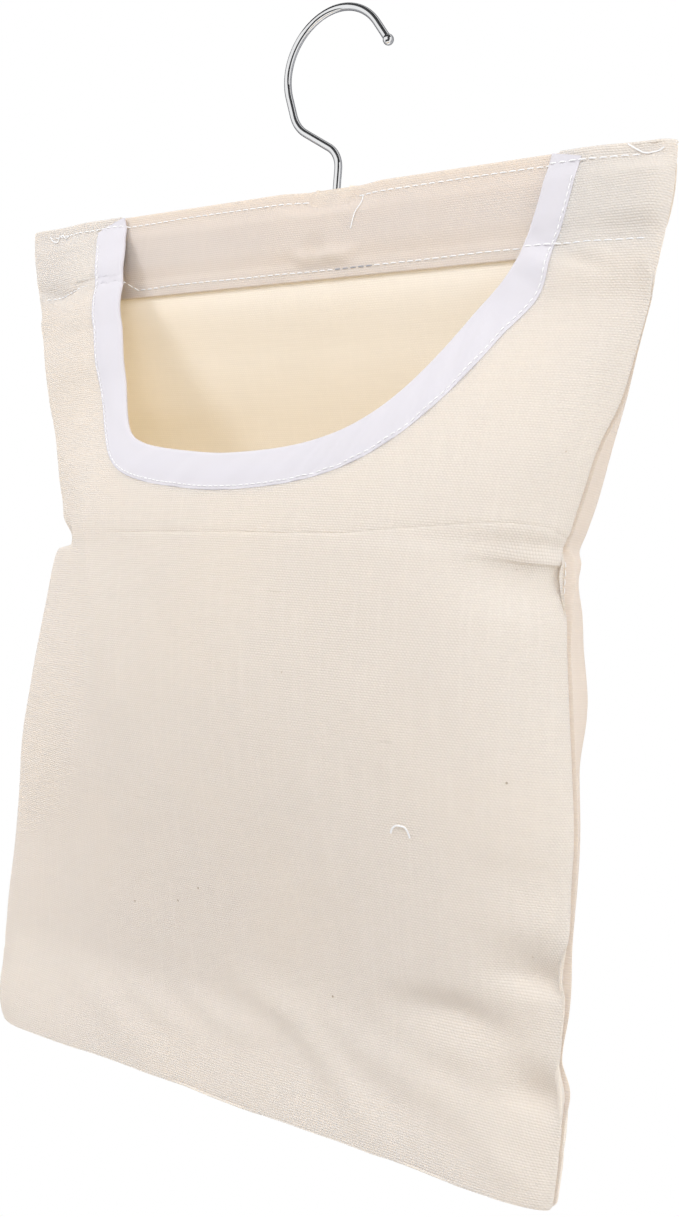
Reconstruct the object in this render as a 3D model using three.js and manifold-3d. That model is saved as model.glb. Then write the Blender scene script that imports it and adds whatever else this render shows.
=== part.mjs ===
// A hanging peg bag: canvas panels with a scooped, tape-bound mouth, sewn over a wooden bar on a wire hook.
// Millimetres, +Z up. The front faces -Y, and +X is to the right seen from the front.
// The origin is the seat of the hook, the inside of the top of its arc, where it hangs on a line or a rail.
// The bag is built in its own group, whose origin is the middle of its top edge.
// A drop is a distance below that edge.
import * as THREE from "three";
import { mergeVertices } from "three/addons/utils/BufferGeometryUtils.js";
import Module from "manifold-3d";

const wasm = await Module();
wasm.setup();

// Cloth panels
const clothThickness = 0.8;
const bagHeight = 402;
const waistWidth = 280; // across the packing crease, which draws the sides in
const waistDrop = 155;
const bottomWidth = 316;
const frontSwell = 53; // how far the empty front gapes forward
const backSwell = 34;
const swellDrop = 160; // where both panels are fullest
const casingEndRoom = 10; // cloth past the right end of the bar
const shoulderCurve = 1.8; // how late the sides draw in above the waist
const hipCurve = 3; // how soon they come out again below it
const gapeCurve = 1.15; // how late the panels part below the casing

// Mouth and its tape
const mouthHalfWidth = 117.5;
const mouthDepth = 125;
const tapeWidth = 17;
const tapeThickness = 0.5;
const tapeTurnRun = 30; // height below the casing in which the tape turns square to the mouth's edge
const tapeStitchInset = 2; // from the tape's outer edge to its stitching

// Casing round the bar, and its rows of stitching
const upperStitchDrop = 4.5;
const pocketRun = 5; // height in which the layers part from a stitch row to the bar
const hemDepth = 4; // facing left below the lower row
const stitchEndRoom = 12; // from the side seam to the end of a row
const tackLength = 8;
const slotTaper = 4; // length in which the parted cloth closes beside the hook
const frontEaseRun = 14; // height in which the front eases back below the facing

// Bar
const barLength = 300;
const barHeight = 18;
const barThickness = 8;
const barCornerRadius = 6;
const barBevel = 2.6; // how far its long edges are rounded over
const barBevelSteps = 4;
const slideTravel = 6; // of the cloth along the bar, each way

// Hook, washer and head
const wireDiameter = 3.4;
const hookInnerRadius = 24.9;
const hookRise = 55; // top edge of the bag up to the centre of the arc
const hookArcOffset = 6.5; // arc centre left of the shank
const hookOffCentre = 14; // shank right of the bag's middle
const hookTipDegrees = 16; // end of the arc above the horizontal
const tipDiameter = 4.8;
const bendHeight = 15;
const bendRadius = 6;
const washerDiameter = 7.4;
const washerThickness = 1;
const headDiameter = 6.2;
const headThickness = 1.5;

// Threads and clearances
const threadRadius = 0.25;
const tackRadius = 0.5;
const threadGap = 0.4;
const layerGap = 0.5; // between two layers of cloth or tape
const barGap = 0.3; // round the bar in its casing
const shankGap = 0.35; // round the wire in the bar and in the slot
const stackGap = 0.3; // between bar, washer and head

// How finely curves are divided
const panelColumns = 20;
const panelRows = 24;
const mouthSteps = 24;
const wireSides = 10;
const threadSides = 5;
const arcStepDegrees = 6;
const seamSteps = 24;
const ballSegments = 14;

// Places that follow from the sizes above
const wireRadius = wireDiameter / 2;
const hookRadius = hookInnerRadius + wireRadius;
const pocketTop = upperStitchDrop + pocketRun;
const barTop = pocketTop + barGap;
const barBottom = barTop + barHeight;
const washerTop = barBottom + stackGap;
const headTop = washerTop + washerThickness + stackGap;
const headBottom = headTop + headThickness;
const pocketBottom = headBottom + barGap;
const lowerStitchDrop = pocketBottom + pocketRun;
const facingDrop = lowerStitchDrop + hemDepth;
const topHalfWidth = barLength / 2 + hookOffCentre + casingEndRoom;
const pinchHalfDepth = barGap / 2;
const pocketHalfDepth = Math.max(barThickness, washerDiameter, headDiameter) / 2 + barGap;
const slotHalfDepth = wireRadius + shankGap;
const slotHalfLength = slideTravel + wireRadius + shankGap;
const frontLayer = clothThickness + tapeThickness + 2 * layerGap; // facing and the tape's rear leaf
const tapeInside = clothThickness / 2 + layerGap;
const tapeOutside = tapeInside + tapeThickness;
const topEdgeZ = -hookInnerRadius - hookRise;

const colours = {
  canvas: new THREE.MeshStandardMaterial({ color: 0xe9dfd2, roughness: 0.95, metalness: 0 }),
  facing: new THREE.MeshStandardMaterial({ color: 0xe1d7cc, roughness: 0.95, metalness: 0 }),
  tape: new THREE.MeshStandardMaterial({ color: 0xf3f0f3, roughness: 0.85, metalness: 0 }),
  thread: new THREE.MeshStandardMaterial({ color: 0xf4f2ee, roughness: 0.8, metalness: 0 }),
  wood: new THREE.MeshStandardMaterial({ color: 0xc9a877, roughness: 0.7, metalness: 0 }),
  chrome: new THREE.MeshStandardMaterial({ color: 0xcfd2d4, roughness: 0.15, metalness: 1 }),
};

// 0 before start, 1 after end, straight between them
function ramp(value, start, end) {
  return Math.min(1, Math.max(0, (value - start) / (end - start)));
}

function reversed(geometry) {
  const index = Array.from(geometry.index.array);
  for (let i = 0; i < index.length; i += 3) {
    [index[i + 1], index[i + 2]] = [index[i + 2], index[i + 1]];
  }
  return geometry.clone().setIndex(index);
}

// Six times the volume that a closed indexed mesh encloses, negative when its faces point inwards
function signedVolume(geometry) {
  const position = geometry.getAttribute("position");
  const corner = [0, 1, 2].map(() => new THREE.Vector3());
  let total = 0;
  for (let i = 0; i < geometry.index.count; i += 3) {
    corner.forEach((c, k) => c.fromBufferAttribute(position, geometry.index.getX(i + k)));
    total += corner[0].dot(corner[1].cross(corner[2]));
  }
  return total;
}

function meshGeometry(vertices, faces) {
  const geometry = new THREE.BufferGeometry().setFromPoints(vertices).setIndex(faces);
  return signedVolume(geometry) < 0 ? reversed(geometry) : geometry;
}

// A closed sheet between two grids of points of the same rows and columns
function closedSheet(outer, inner) {
  const rows = outer.length;
  const columns = outer[0].length;
  const front = (r, c) => r * columns + c;
  const back = (r, c) => rows * columns + front(r, c);
  const faces = [];
  const quad = (a, b, c, d) => faces.push(a, b, c, a, c, d);
  for (let r = 0; r + 1 < rows; r++) {
    for (let c = 0; c + 1 < columns; c++) {
      quad(front(r, c), front(r, c + 1), front(r + 1, c + 1), front(r + 1, c));
      quad(back(r, c), back(r + 1, c), back(r + 1, c + 1), back(r, c + 1));
    }
  }
  const lastRow = rows - 1;
  const lastColumn = columns - 1;
  for (let c = 0; c < lastColumn; c++) {
    quad(front(0, c + 1), front(0, c), back(0, c), back(0, c + 1));
    quad(front(lastRow, c), front(lastRow, c + 1), back(lastRow, c + 1), back(lastRow, c));
  }
  for (let r = 0; r < lastRow; r++) {
    quad(front(r, 0), front(r + 1, 0), back(r + 1, 0), back(r, 0));
    quad(front(r + 1, lastColumn), front(r, lastColumn), back(r, lastColumn), back(r + 1, lastColumn));
  }
  return meshGeometry([...outer.flat(), ...inner.flat()], faces);
}

// A sheet of even thickness about a middle surface given as a function of a row and a column value
function sheetAbout(middle, rowValues, columnValues, thickness) {
  const rowNudge = 0.5;
  const columnNudge = (columnValues.at(-1) - columnValues[0]) / 100;
  const clampRow = (v) => Math.min(rowValues.at(-1), Math.max(rowValues[0], v));
  const clampColumn = (v) => Math.min(columnValues.at(-1), Math.max(columnValues[0], v));
  const normalAt = (row, column) => {
    const right = middle(row, clampColumn(column + columnNudge));
    const left = middle(row, clampColumn(column - columnNudge));
    const below = middle(clampRow(row + rowNudge), column);
    const above = middle(clampRow(row - rowNudge), column);
    return right.sub(left).cross(below.sub(above)).normalize();
  };
  const grid = (offset) => rowValues.map((row) => columnValues.map((column) => (
    middle(row, column).addScaledVector(normalAt(row, column), offset)
  )));
  return closedSheet(grid(thickness / 2), grid(-thickness / 2));
}

// A round rod through the given points, with flat ends
function rodGeometry(points, radius, sides) {
  const last = points.length - 1;
  const tangents = points.map((p, i) => {
    const before = i > 0 ? p.clone().sub(points[i - 1]).normalize() : new THREE.Vector3();
    const after = i < last ? points[i + 1].clone().sub(p).normalize() : new THREE.Vector3();
    return before.add(after).normalize();
  });
  const across = new THREE.Vector3(0, 1, 0);
  if (Math.abs(tangents[0].y) > 0.9) across.set(1, 0, 0);
  const vertices = [];
  points.forEach((p, i) => {
    across.addScaledVector(tangents[i], -across.dot(tangents[i])).normalize();
    const side = tangents[i].clone().cross(across);
    for (let k = 0; k < sides; k++) {
      const angle = (2 * Math.PI * k) / sides;
      const rim = p.clone().addScaledVector(across, radius * Math.cos(angle));
      vertices.push(rim.addScaledVector(side, radius * Math.sin(angle)));
    }
  });
  const faces = [];
  for (let i = 0; i < last; i++) {
    for (let k = 0; k < sides; k++) {
      const a = i * sides + k;
      const b = i * sides + ((k + 1) % sides);
      faces.push(a, b, b + sides, a, b + sides, a + sides);
    }
  }
  for (let k = 1; k + 1 < sides; k++) {
    faces.push(0, k + 1, k);
    faces.push(last * sides, last * sides + k, last * sides + k + 1);
  }
  return meshGeometry(vertices, faces);
}

function solidOf(geometry) {
  const bare = new THREE.BufferGeometry().setAttribute("position", geometry.getAttribute("position"));
  const merged = mergeVertices(geometry.index ? bare.setIndex(geometry.index) : bare, 1e-4);
  const vertProperties = new Float32Array(merged.getAttribute("position").array);
  return new wasm.Manifold(new wasm.Mesh({
    numProp: 3,
    vertProperties,
    triVerts: new Uint32Array(merged.index.array),
  }));
}

function geometryOf(solid) {
  const mesh = solid.getMesh();
  return new THREE.BufferGeometry()
    .setAttribute("position", new THREE.BufferAttribute(mesh.vertProperties, 3))
    .setIndex(new THREE.BufferAttribute(mesh.triVerts, 1));
}

function addMesh(group, name, geometry, material) {
  const mesh = new THREE.Mesh(geometry, material);
  mesh.name = name;
  group.add(mesh);
}

// Half the width between the side seams
function halfWidth(drop) {
  const waist = waistWidth / 2;
  if (drop < waistDrop) {
    return topHalfWidth - (topHalfWidth - waist) * (drop / waistDrop) ** shoulderCurve;
  }
  const below = (drop - waistDrop) / (bagHeight - waistDrop);
  return waist + (bottomWidth / 2 - waist) * (1 - (1 - below) ** hipCurve);
}

// How far a panel stands out in the middle, as a share of its fullest
function swellShare(drop) {
  if (drop <= lowerStitchDrop) return 0;
  if (drop < swellDrop) {
    const opening = (drop - lowerStitchDrop) / (swellDrop - lowerStitchDrop);
    return Math.sin((Math.PI / 2) * opening) ** gapeCurve;
  }
  return Math.max(0, Math.cos((Math.PI / 2) * (drop - swellDrop) / (bagHeight - swellDrop)));
}

// From the middle plane to the inside of the casing: pinched at the stitch rows and full at the bar
function pocketDepth(drop) {
  const filled = ramp(drop, upperStitchDrop, pocketTop) * (1 - ramp(drop, pocketBottom, lowerStitchDrop));
  return pinchHalfDepth + (pocketHalfDepth - pinchHalfDepth) * filled;
}

// The same with the slot in the top edge, where the cloth parts round the shank
function slottedPocketDepth(x, drop) {
  if (drop >= pocketTop) return pocketDepth(drop);
  const reach = Math.abs(x - hookOffCentre);
  const parted = 1 - ramp(reach, slotHalfLength, slotHalfLength + slotTaper);
  return Math.max(pocketDepth(drop), pinchHalfDepth + (slotHalfDepth - pinchHalfDepth) * parted);
}

// The front panel's shoulders lie over the facing, and below it the panel eases back to the seams
function frontStand(drop) {
  const over = 1 - ramp(drop, facingDrop + layerGap, facingDrop + layerGap + frontEaseRun);
  return pocketDepth(drop) + clothThickness / 2 + frontLayer * over;
}

function frontY(x, drop) {
  const across = Math.min(1, Math.abs(x) / halfWidth(drop));
  return -frontStand(drop) - frontSwell * swellShare(drop) * Math.sqrt(1 - across * across);
}

// A point off the front panel's middle surface, forward by the given height
function overFront(x, drop, height) {
  const nudge = 0.5;
  const slopeX = (frontY(x + nudge, drop) - frontY(x - nudge, drop)) / (2 * nudge);
  const slopeDrop = (frontY(x, drop + nudge) - frontY(x, Math.max(0, drop - nudge))) / (2 * nudge);
  const forward = new THREE.Vector3(slopeX, -1, -slopeDrop).normalize();
  return new THREE.Vector3(x, frontY(x, drop), -drop).addScaledVector(forward, height);
}

// A panel between the two side seams, at +1 and -1 across
function panelPoint(drop, across, stand, swell) {
  const turn = (Math.PI / 2) * across;
  const x = halfWidth(drop) * Math.sin(turn);
  return new THREE.Vector3(x, stand(x, drop) + swell * swellShare(drop) * Math.cos(turn), -drop);
}

const casingDrops = [0, upperStitchDrop, pocketTop, pocketBottom, lowerStitchDrop, facingDrop];
const bodyDrops = Array.from({ length: panelRows }, (_, i) => (
  facingDrop + ((bagHeight - facingDrop) * (i + 1)) / panelRows
));
const panelDrops = [...casingDrops, ...bodyDrops];
const evenAcross = Array.from({ length: panelColumns + 1 }, (_, i) => -1 + (2 * i) / panelColumns);
const slotEdges = [-1, 1].flatMap((side) => [slotHalfLength, slotHalfLength + slotTaper].map((reach) => (
  hookOffCentre + side * reach
)));

function backPanel() {
  const slotAcross = slotEdges.map((x) => Math.asin(x / topHalfWidth) / (Math.PI / 2));
  const across = [...evenAcross, ...slotAcross].sort((a, b) => a - b);
  const stand = (x, drop) => slottedPocketDepth(x, drop) + clothThickness / 2;
  const middle = (drop, u) => panelPoint(drop, u, stand, backSwell);
  return sheetAbout(middle, panelDrops, across, clothThickness);
}

// The mouth's edge is half an ellipse hung from the top edge. An angle of 0 is its top right end.
function mouthPoint(angle, grow) {
  return {
    x: (mouthHalfWidth + grow) * Math.cos(angle),
    drop: (mouthDepth + grow) * Math.sin(angle),
  };
}

function frontPanel() {
  const stand = (x, drop) => -frontStand(drop);
  const middle = (drop, u) => panelPoint(drop, u, stand, -frontSwell);
  const whole = sheetAbout(middle, panelDrops, evenAcross, clothThickness);
  const margin = 10;
  const edge = tapeThickness + layerGap;
  const cutReach = frontSwell + pocketHalfDepth + frontLayer + margin;
  const outline = new THREE.Shape();
  outline.moveTo(mouthHalfWidth + edge, margin);
  outline.lineTo(-mouthHalfWidth - edge, margin);
  for (let i = 2 * mouthSteps; i >= 0; i--) {
    const p = mouthPoint((Math.PI * i) / (2 * mouthSteps), edge);
    outline.lineTo(p.x, -p.drop);
  }
  const cutter = new THREE.ExtrudeGeometry(outline, { depth: cutReach, bevelEnabled: false });
  cutter.rotateX(Math.PI / 2);
  return geometryOf(solidOf(whole).subtract(solidOf(cutter)));
}

// Angles along the mouth: at each bend of the casing's layers, then in even steps round the scoop
function mouthAngles() {
  const barMiddle = (barTop + barBottom) / 2;
  const bends = [...casingDrops.slice(0, -1), barMiddle].sort((a, b) => a - b);
  const casingAngles = bends.map((drop) => Math.asin(drop / mouthDepth));
  const start = Math.asin(facingDrop / mouthDepth);
  const scoop = Array.from({ length: mouthSteps + 1 }, (_, i) => (
    start + ((Math.PI - 2 * start) * i) / mouthSteps
  ));
  return [...casingAngles, ...scoop, ...casingAngles.map((angle) => Math.PI - angle).reverse()];
}

// A point beside the mouth's edge: outward along the front panel, then forward off it.
// On the casing the tape's width runs level, and below it turns square to the edge.
function besideMouth(angle, outward, forward) {
  const p = mouthPoint(angle, 0);
  const square = new THREE.Vector2(Math.cos(angle) / mouthHalfWidth, Math.sin(angle) / mouthDepth);
  const level = new THREE.Vector2(Math.sign(Math.cos(angle)), 0);
  const turned = ramp(p.drop, facingDrop, facingDrop + tapeTurnRun);
  const way = level.lerp(square.normalize(), turned).normalize();
  return overFront(p.x + way.x * outward, p.drop + way.y * outward, forward);
}

// Tape folded over the raw edge of the mouth, with one leaf outside the bag and one inside
function mouthBinding() {
  const leaves = (depth, fold) => [[tapeWidth, depth], [fold, depth], [fold, -depth], [tapeWidth, -depth]];
  const grid = (depth, fold) => mouthAngles().map((angle) => (
    leaves(depth, fold).map(([outward, forward]) => besideMouth(angle, outward, forward))
  ));
  return closedSheet(grid(tapeOutside, 0), grid(tapeInside, tapeThickness));
}

function casingFacing() {
  const half = halfWidth(facingDrop) - layerGap;
  const even = evenAcross.map((u) => u * half);
  const columns = [...even, ...slotEdges].sort((a, b) => a - b);
  const middle = (drop, x) => new THREE.Vector3(x, -slottedPocketDepth(x, drop) - clothThickness / 2, -drop);
  return sheetAbout(middle, casingDrops, columns, clothThickness);
}

// A row of needle thread along the casing, over the shoulders, the tape and the facing
function casingThread(drop, startX, endX) {
  const angle = Math.asin(drop / mouthDepth);
  const lift = threadGap + threadRadius;
  const onFront = frontStand(drop) + clothThickness / 2 + lift;
  const onTape = frontStand(drop) + tapeOutside + lift;
  const onFacing = pocketDepth(drop) + clothThickness + lift;
  const tapeInner = mouthPoint(angle, 0).x;
  const tapeOuter = tapeInner + tapeWidth;
  const step = 2 * lift;
  const half = [[tapeInner - 2 * step, onFacing], [tapeInner - step, onTape],
    [tapeOuter + step, onTape], [tapeOuter + 2 * step, onFront]];
  const levels = [...half.map(([x, y]) => [-x, y]).reverse(), ...half];
  const between = levels.filter(([x]) => x > startX && x < endX);
  const levelAt = (x) => (Math.abs(x) < tapeInner ? onFacing : onFront);
  const route = [[startX, levelAt(startX)], ...between, [endX, levelAt(endX)]];
  const points = route.map(([x, y]) => new THREE.Vector3(x, -y, -drop));
  return rodGeometry(points, threadRadius, threadSides);
}

function straightThread(from, to, radius) {
  return rodGeometry([from, to], radius, threadSides);
}

// A row of bobbin thread along the back of the casing
function bobbinThread(drop, startX, endX) {
  const y = pocketDepth(drop) + clothThickness + threadGap + threadRadius;
  return straightThread(new THREE.Vector3(startX, y, -drop), new THREE.Vector3(endX, y, -drop), threadRadius);
}

// A row that follows the mouth on one leaf of the tape, below the casing
function bindingThread(forward) {
  const fromMouth = tapeWidth - tapeStitchInset;
  const clear = Math.asin((facingDrop + 2 * threadGap) / mouthDepth);
  const angles = Array.from({ length: 2 * mouthSteps + 1 }, (_, i) => (
    clear + ((Math.PI - 2 * clear) * i) / (2 * mouthSteps)
  ));
  const height = forward * (tapeOutside + threadGap + threadRadius);
  const points = angles.map((angle) => besideMouth(angle, fromMouth, height));
  return rodGeometry(points, threadRadius, threadSides);
}

function sideSeam(side) {
  const out = clothThickness / 2 + threadGap + threadRadius;
  const points = Array.from({ length: seamSteps + 1 }, (_, i) => {
    const drop = (bagHeight * i) / seamSteps;
    return new THREE.Vector3(side * (halfWidth(drop) + out), 0, -drop);
  });
  return rodGeometry(points, threadRadius, threadSides);
}

function bottomSeam() {
  const z = -bagHeight - clothThickness / 2 - threadGap - threadRadius;
  const half = bottomWidth / 2;
  return straightThread(new THREE.Vector3(-half, 0, z), new THREE.Vector3(half, 0, z), threadRadius);
}

// A thick whipped stitch that ends the upper row near the side seam
function barTack(side) {
  const start = halfWidth(upperStitchDrop) - stitchEndRoom + 2 * threadGap;
  const y = -(frontStand(upperStitchDrop) + clothThickness / 2 + threadGap + tackRadius);
  const from = new THREE.Vector3(side * start, y, -upperStitchDrop);
  const to = new THREE.Vector3(side * (start + tackLength), y, -upperStitchDrop);
  return straightThread(from, to, tackRadius);
}

// A flat batten with rounded corners, drilled down through its middle for the shank
function hangerBar() {
  const half = barLength / 2 - barBevel;
  const rise = barHeight / 2 - barBevel;
  const radius = Math.min(barCornerRadius, rise);
  const outline = new THREE.Shape();
  outline.absarc(half - radius, rise - radius, radius, 0, Math.PI / 2);
  outline.absarc(-half + radius, rise - radius, radius, Math.PI / 2, Math.PI);
  outline.absarc(-half + radius, -rise + radius, radius, Math.PI, 1.5 * Math.PI);
  outline.absarc(half - radius, -rise + radius, radius, 1.5 * Math.PI, 2 * Math.PI);
  const batten = new THREE.ExtrudeGeometry(outline, {
    depth: barThickness - 2 * barBevel,
    bevelThickness: barBevel,
    bevelSize: barBevel,
    bevelSegments: barBevelSteps,
    curveSegments: 4,
  });
  batten.translate(0, 0, -(barThickness - 2 * barBevel) / 2);
  batten.rotateX(Math.PI / 2);
  const drill = new THREE.CylinderGeometry(slotHalfDepth, slotHalfDepth, 2 * barHeight, 2 * wireSides);
  drill.rotateX(Math.PI / 2);
  const bar = geometryOf(solidOf(batten).subtract(solidOf(drill)));
  return bar.translate(hookOffCentre, 0, -(barTop + barBottom) / 2);
}

function hookWasher() {
  const inner = wireRadius + shankGap;
  const outer = washerDiameter / 2;
  const half = washerThickness / 2;
  const profile = [[inner, -half], [outer, -half], [outer, half], [inner, half], [inner, -half]];
  const ring = new THREE.LatheGeometry(profile.map(([r, y]) => new THREE.Vector2(r, y)), 2 * wireSides);
  ring.rotateX(Math.PI / 2);
  return ring.translate(hookOffCentre, 0, -washerTop - half);
}

// The wire's centre line in the plane of the hook: shank, bend, slanting neck and arc
function hookCentreLine() {
  const centre = new THREE.Vector2(0, -hookInnerRadius);
  const corner = new THREE.Vector2(hookArcOffset, topEdgeZ + bendHeight);
  const toCentre = centre.clone().sub(corner);
  const neckAngle = toCentre.angle() + Math.asin(hookRadius / toCentre.length());
  const turn = neckAngle - Math.PI / 2;
  const bendReach = bendRadius * Math.tan(turn / 2);
  const points = [[hookArcOffset, topEdgeZ - headBottom + headThickness / 2]];
  const arc = (x, z, radius, from, to) => {
    const steps = Math.ceil(Math.abs(to - from) / THREE.MathUtils.degToRad(arcStepDegrees));
    for (let i = 0; i <= steps; i++) {
      const angle = from + ((to - from) * i) / steps;
      points.push([x + radius * Math.cos(angle), z + radius * Math.sin(angle)]);
    }
  };
  arc(corner.x - bendRadius, corner.y - bendReach, bendRadius, 0, turn);
  arc(centre.x, centre.y, hookRadius, neckAngle + Math.PI / 2, THREE.MathUtils.degToRad(hookTipDegrees));
  return points.map(([x, z]) => new THREE.Vector3(x, 0, z));
}

function wireHook() {
  const line = hookCentreLine();
  const wire = solidOf(rodGeometry(line, wireRadius, wireSides));
  const ball = new THREE.SphereGeometry(tipDiameter / 2, ballSegments, ballSegments / 2);
  ball.translate(...line.at(-1).toArray());
  const head = new THREE.CylinderGeometry(headDiameter / 2, headDiameter / 2, headThickness, 2 * wireSides);
  head.rotateX(Math.PI / 2);
  head.translate(hookArcOffset, 0, topEdgeZ - (headTop + headBottom) / 2);
  return geometryOf(wire.add(solidOf(ball)).add(solidOf(head)));
}

function sewnBag() {
  const bag = new THREE.Group();
  bag.position.set(hookArcOffset - hookOffCentre, 0, topEdgeZ);
  addMesh(bag, "back_panel", backPanel(), colours.canvas);
  addMesh(bag, "front_panel", frontPanel(), colours.canvas);
  addMesh(bag, "casing_facing", casingFacing(), colours.facing);
  addMesh(bag, "mouth_binding", mouthBinding(), colours.tape);
  addMesh(bag, "hanger_bar", hangerBar(), colours.wood);
  addMesh(bag, "hook_washer", hookWasher(), colours.chrome);
  const slotLeft = slotEdges[1];
  const slotRight = slotEdges[3];
  const upperEnd = halfWidth(upperStitchDrop) - stitchEndRoom;
  const lowerEnd = halfWidth(lowerStitchDrop) - stitchEndRoom;
  addMesh(bag, "upper_topstitch_left", casingThread(upperStitchDrop, -upperEnd, slotLeft), colours.thread);
  addMesh(bag, "upper_topstitch_right", casingThread(upperStitchDrop, slotRight, upperEnd), colours.thread);
  addMesh(bag, "lower_topstitch", casingThread(lowerStitchDrop, -lowerEnd, lowerEnd), colours.thread);
  addMesh(bag, "upper_bobbin_left", bobbinThread(upperStitchDrop, -upperEnd, slotLeft), colours.thread);
  addMesh(bag, "upper_bobbin_right", bobbinThread(upperStitchDrop, slotRight, upperEnd), colours.thread);
  addMesh(bag, "lower_bobbin", bobbinThread(lowerStitchDrop, -lowerEnd, lowerEnd), colours.thread);
  addMesh(bag, "binding_topstitch", bindingThread(1), colours.thread);
  addMesh(bag, "binding_bobbin", bindingThread(-1), colours.thread);
  addMesh(bag, "side_seam_left", sideSeam(-1), colours.thread);
  addMesh(bag, "side_seam_right", sideSeam(1), colours.thread);
  addMesh(bag, "bottom_seam", bottomSeam(), colours.thread);
  addMesh(bag, "bar_tack_left", barTack(-1), colours.thread);
  addMesh(bag, "bar_tack_right", barTack(1), colours.thread);
  return bag;
}

const pegBag = new THREE.Group();
addMesh(pegBag, "hook", wireHook(), colours.chrome);
pegBag.add(sewnBag());

export default pegBag;
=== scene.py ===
import math

import bpy
import numpy as np
from mathutils import Matrix


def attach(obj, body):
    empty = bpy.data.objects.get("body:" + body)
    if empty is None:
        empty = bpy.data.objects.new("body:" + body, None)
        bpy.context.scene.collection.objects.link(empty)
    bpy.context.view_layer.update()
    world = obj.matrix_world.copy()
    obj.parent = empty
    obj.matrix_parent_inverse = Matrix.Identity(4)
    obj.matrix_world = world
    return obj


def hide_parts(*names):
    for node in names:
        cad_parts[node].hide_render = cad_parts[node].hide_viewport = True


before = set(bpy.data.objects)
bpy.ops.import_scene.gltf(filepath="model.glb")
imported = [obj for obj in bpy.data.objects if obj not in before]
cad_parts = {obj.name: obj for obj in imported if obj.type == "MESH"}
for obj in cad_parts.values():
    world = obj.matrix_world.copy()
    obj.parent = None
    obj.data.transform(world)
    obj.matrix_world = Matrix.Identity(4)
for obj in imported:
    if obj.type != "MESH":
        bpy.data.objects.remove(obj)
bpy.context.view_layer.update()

# Sizes in mm. The bag's own axes are x to the right, y to the back and z up from its top edge,
# and a drop is a distance below that edge.
MM = 0.001
BAG_X = -7.5
BAG_TOP = -79.9
CLOTH = 0.8
BAG_HEIGHT = 402.0
FRONT_SWELL = 53.0
BACK_SWELL = 34.0
SWELL_DROP = 160.0
TAPE_WIDTH = 17.0
TAPE_LOW_WIDTH = 14.9
TAPE_TURNED_IN = 4.6
TAPE_STITCH_INSET = 1.6
UPPER_STITCH = 4.5
LOWER_STITCH = 36.2
FACING_DROP = 39.8
POCKET_DEPTH = 4.3
PINCH_DEPTH = 0.15
SLOT_DEPTH = 2.05
SLOT_LEFT, SLOT_RIGHT, SLOT_EASE = 5.95, 22.05, 4.0
SHANK_X = 14.0
HEM_LAYER = 0.6
FRONT_LAYER = 2.0
BODY_LAYER, BODY_DROPS = 0.45, (42.0, 60.0)
FRONT_EASE, BACK_EASE = 1.15, 1.7
RELIEF_EDGE = 6.0
CREST_HEIGHT = 0.9
SEAM_HALF = 0.45
TOP_ROLL = 0.75
CREST_DROP = 0.6
FACING_SCALE = 1 - 4.0 / 172.0
HEM_TOP = 34.5
BOTTOM_FLARE, FLARE_DROPS = 9.0, (352.0, 399.0)
BOTTOM_WAVE, WAVE_LENGTH, WAVE_DROPS = 1.3, 38.0, (350.0, 400.0)
SET_BACK, END_SET_BACK = 5.0, 0.35
SET_BACK_START, SET_BACK_END = (38.0, 62.0), (92.0, 122.0)
LEFT_PINCH, PINCH_DROPS = 8.0, (146.0, 158.5, 161.6, 164.4)
BOTTOM_ROUND, BOTTOM_LIFT, LIFT_HEIGHT = 1.7, 2.0, 1.8
# Drops between which the casing's round ends turn into folded seams
CASING_END = 36.0, 52.0
LEFT_ROUND, RIGHT_ROUND = 9.0, 8.0
CASING_GROOVE, SEAM_GROOVE, GROOVE_DROPS = 1.0, 4.0, (40.0, 75.0)
# The casing is open between two drops, more so at the wire's head, and slack past the bar's left end
CASING_OPEN = 12.5, 24.5
HEAD_ROOM, HEAD_REACH = 5.0, (11.0, 20.0)
SLACK_FILL, BAR_LEFT_END = 0.3, (-166.0, -144.0)
SLOT_END = 12.0, 16.0
# Its rows of stitching lie forward by a share of the pocket, but not at the slot or at the ends
LEAN_SHARE, LEAN_END, LEAN_REACH = 0.7, (44.0, 70.0), (138.0, 164.0)
SLOT_REACH, SLOT_LEAN_END = (11.0, 30.0), (20.0, 28.0)
HEM_DROPS = 31.0, 35.0, 44.0, 60.0
# Heights of the cloth's relief, with the widths of the two lines
CREASE_DEPTH, CREASE_WIDTH = 0.45, 0.6
BEND_HEIGHT, BEND_WIDTH = 2.8, 16.0
WAVE_HEIGHT, RIPPLE_HEIGHT = 0.9, 0.35
SLACK_HEIGHT = 8.5
PUCKER_HEIGHT, GATHER_HEIGHT = 0.28, 1.1

# Half widths of the bag, seam to middle, against the drop
LEFT_REACH = [
    (-2, 180), (0, 183), (24, 178.3), (45, 171.7), (66, 165.8), (87, 159.7), (108, 150.5), (128, 144.5),
    (149, 137.8), (160, 138.6), (169, 142.7), (190, 146),
    (231, 153), (272, 157.5), (310, 158.5), (350, 160.5), (386, 160), (396, 157), (402, 152.5),
]
RIGHT_REACH = [
    (-2, 174), (0, 172.6), (15, 172.7), (37, 169.7), (67, 163.3), (97, 156), (112, 151), (131, 146),
    (146, 141.7), (152.5, 140), (160, 143.6), (188, 144.2), (211, 147), (241, 151.1), (267, 154),
    (300, 155.1), (325, 156.5), (345, 155.8), (360, 159.5), (375, 160), (390, 159.2), (399, 158.5),
    (402, 155),
]
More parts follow.
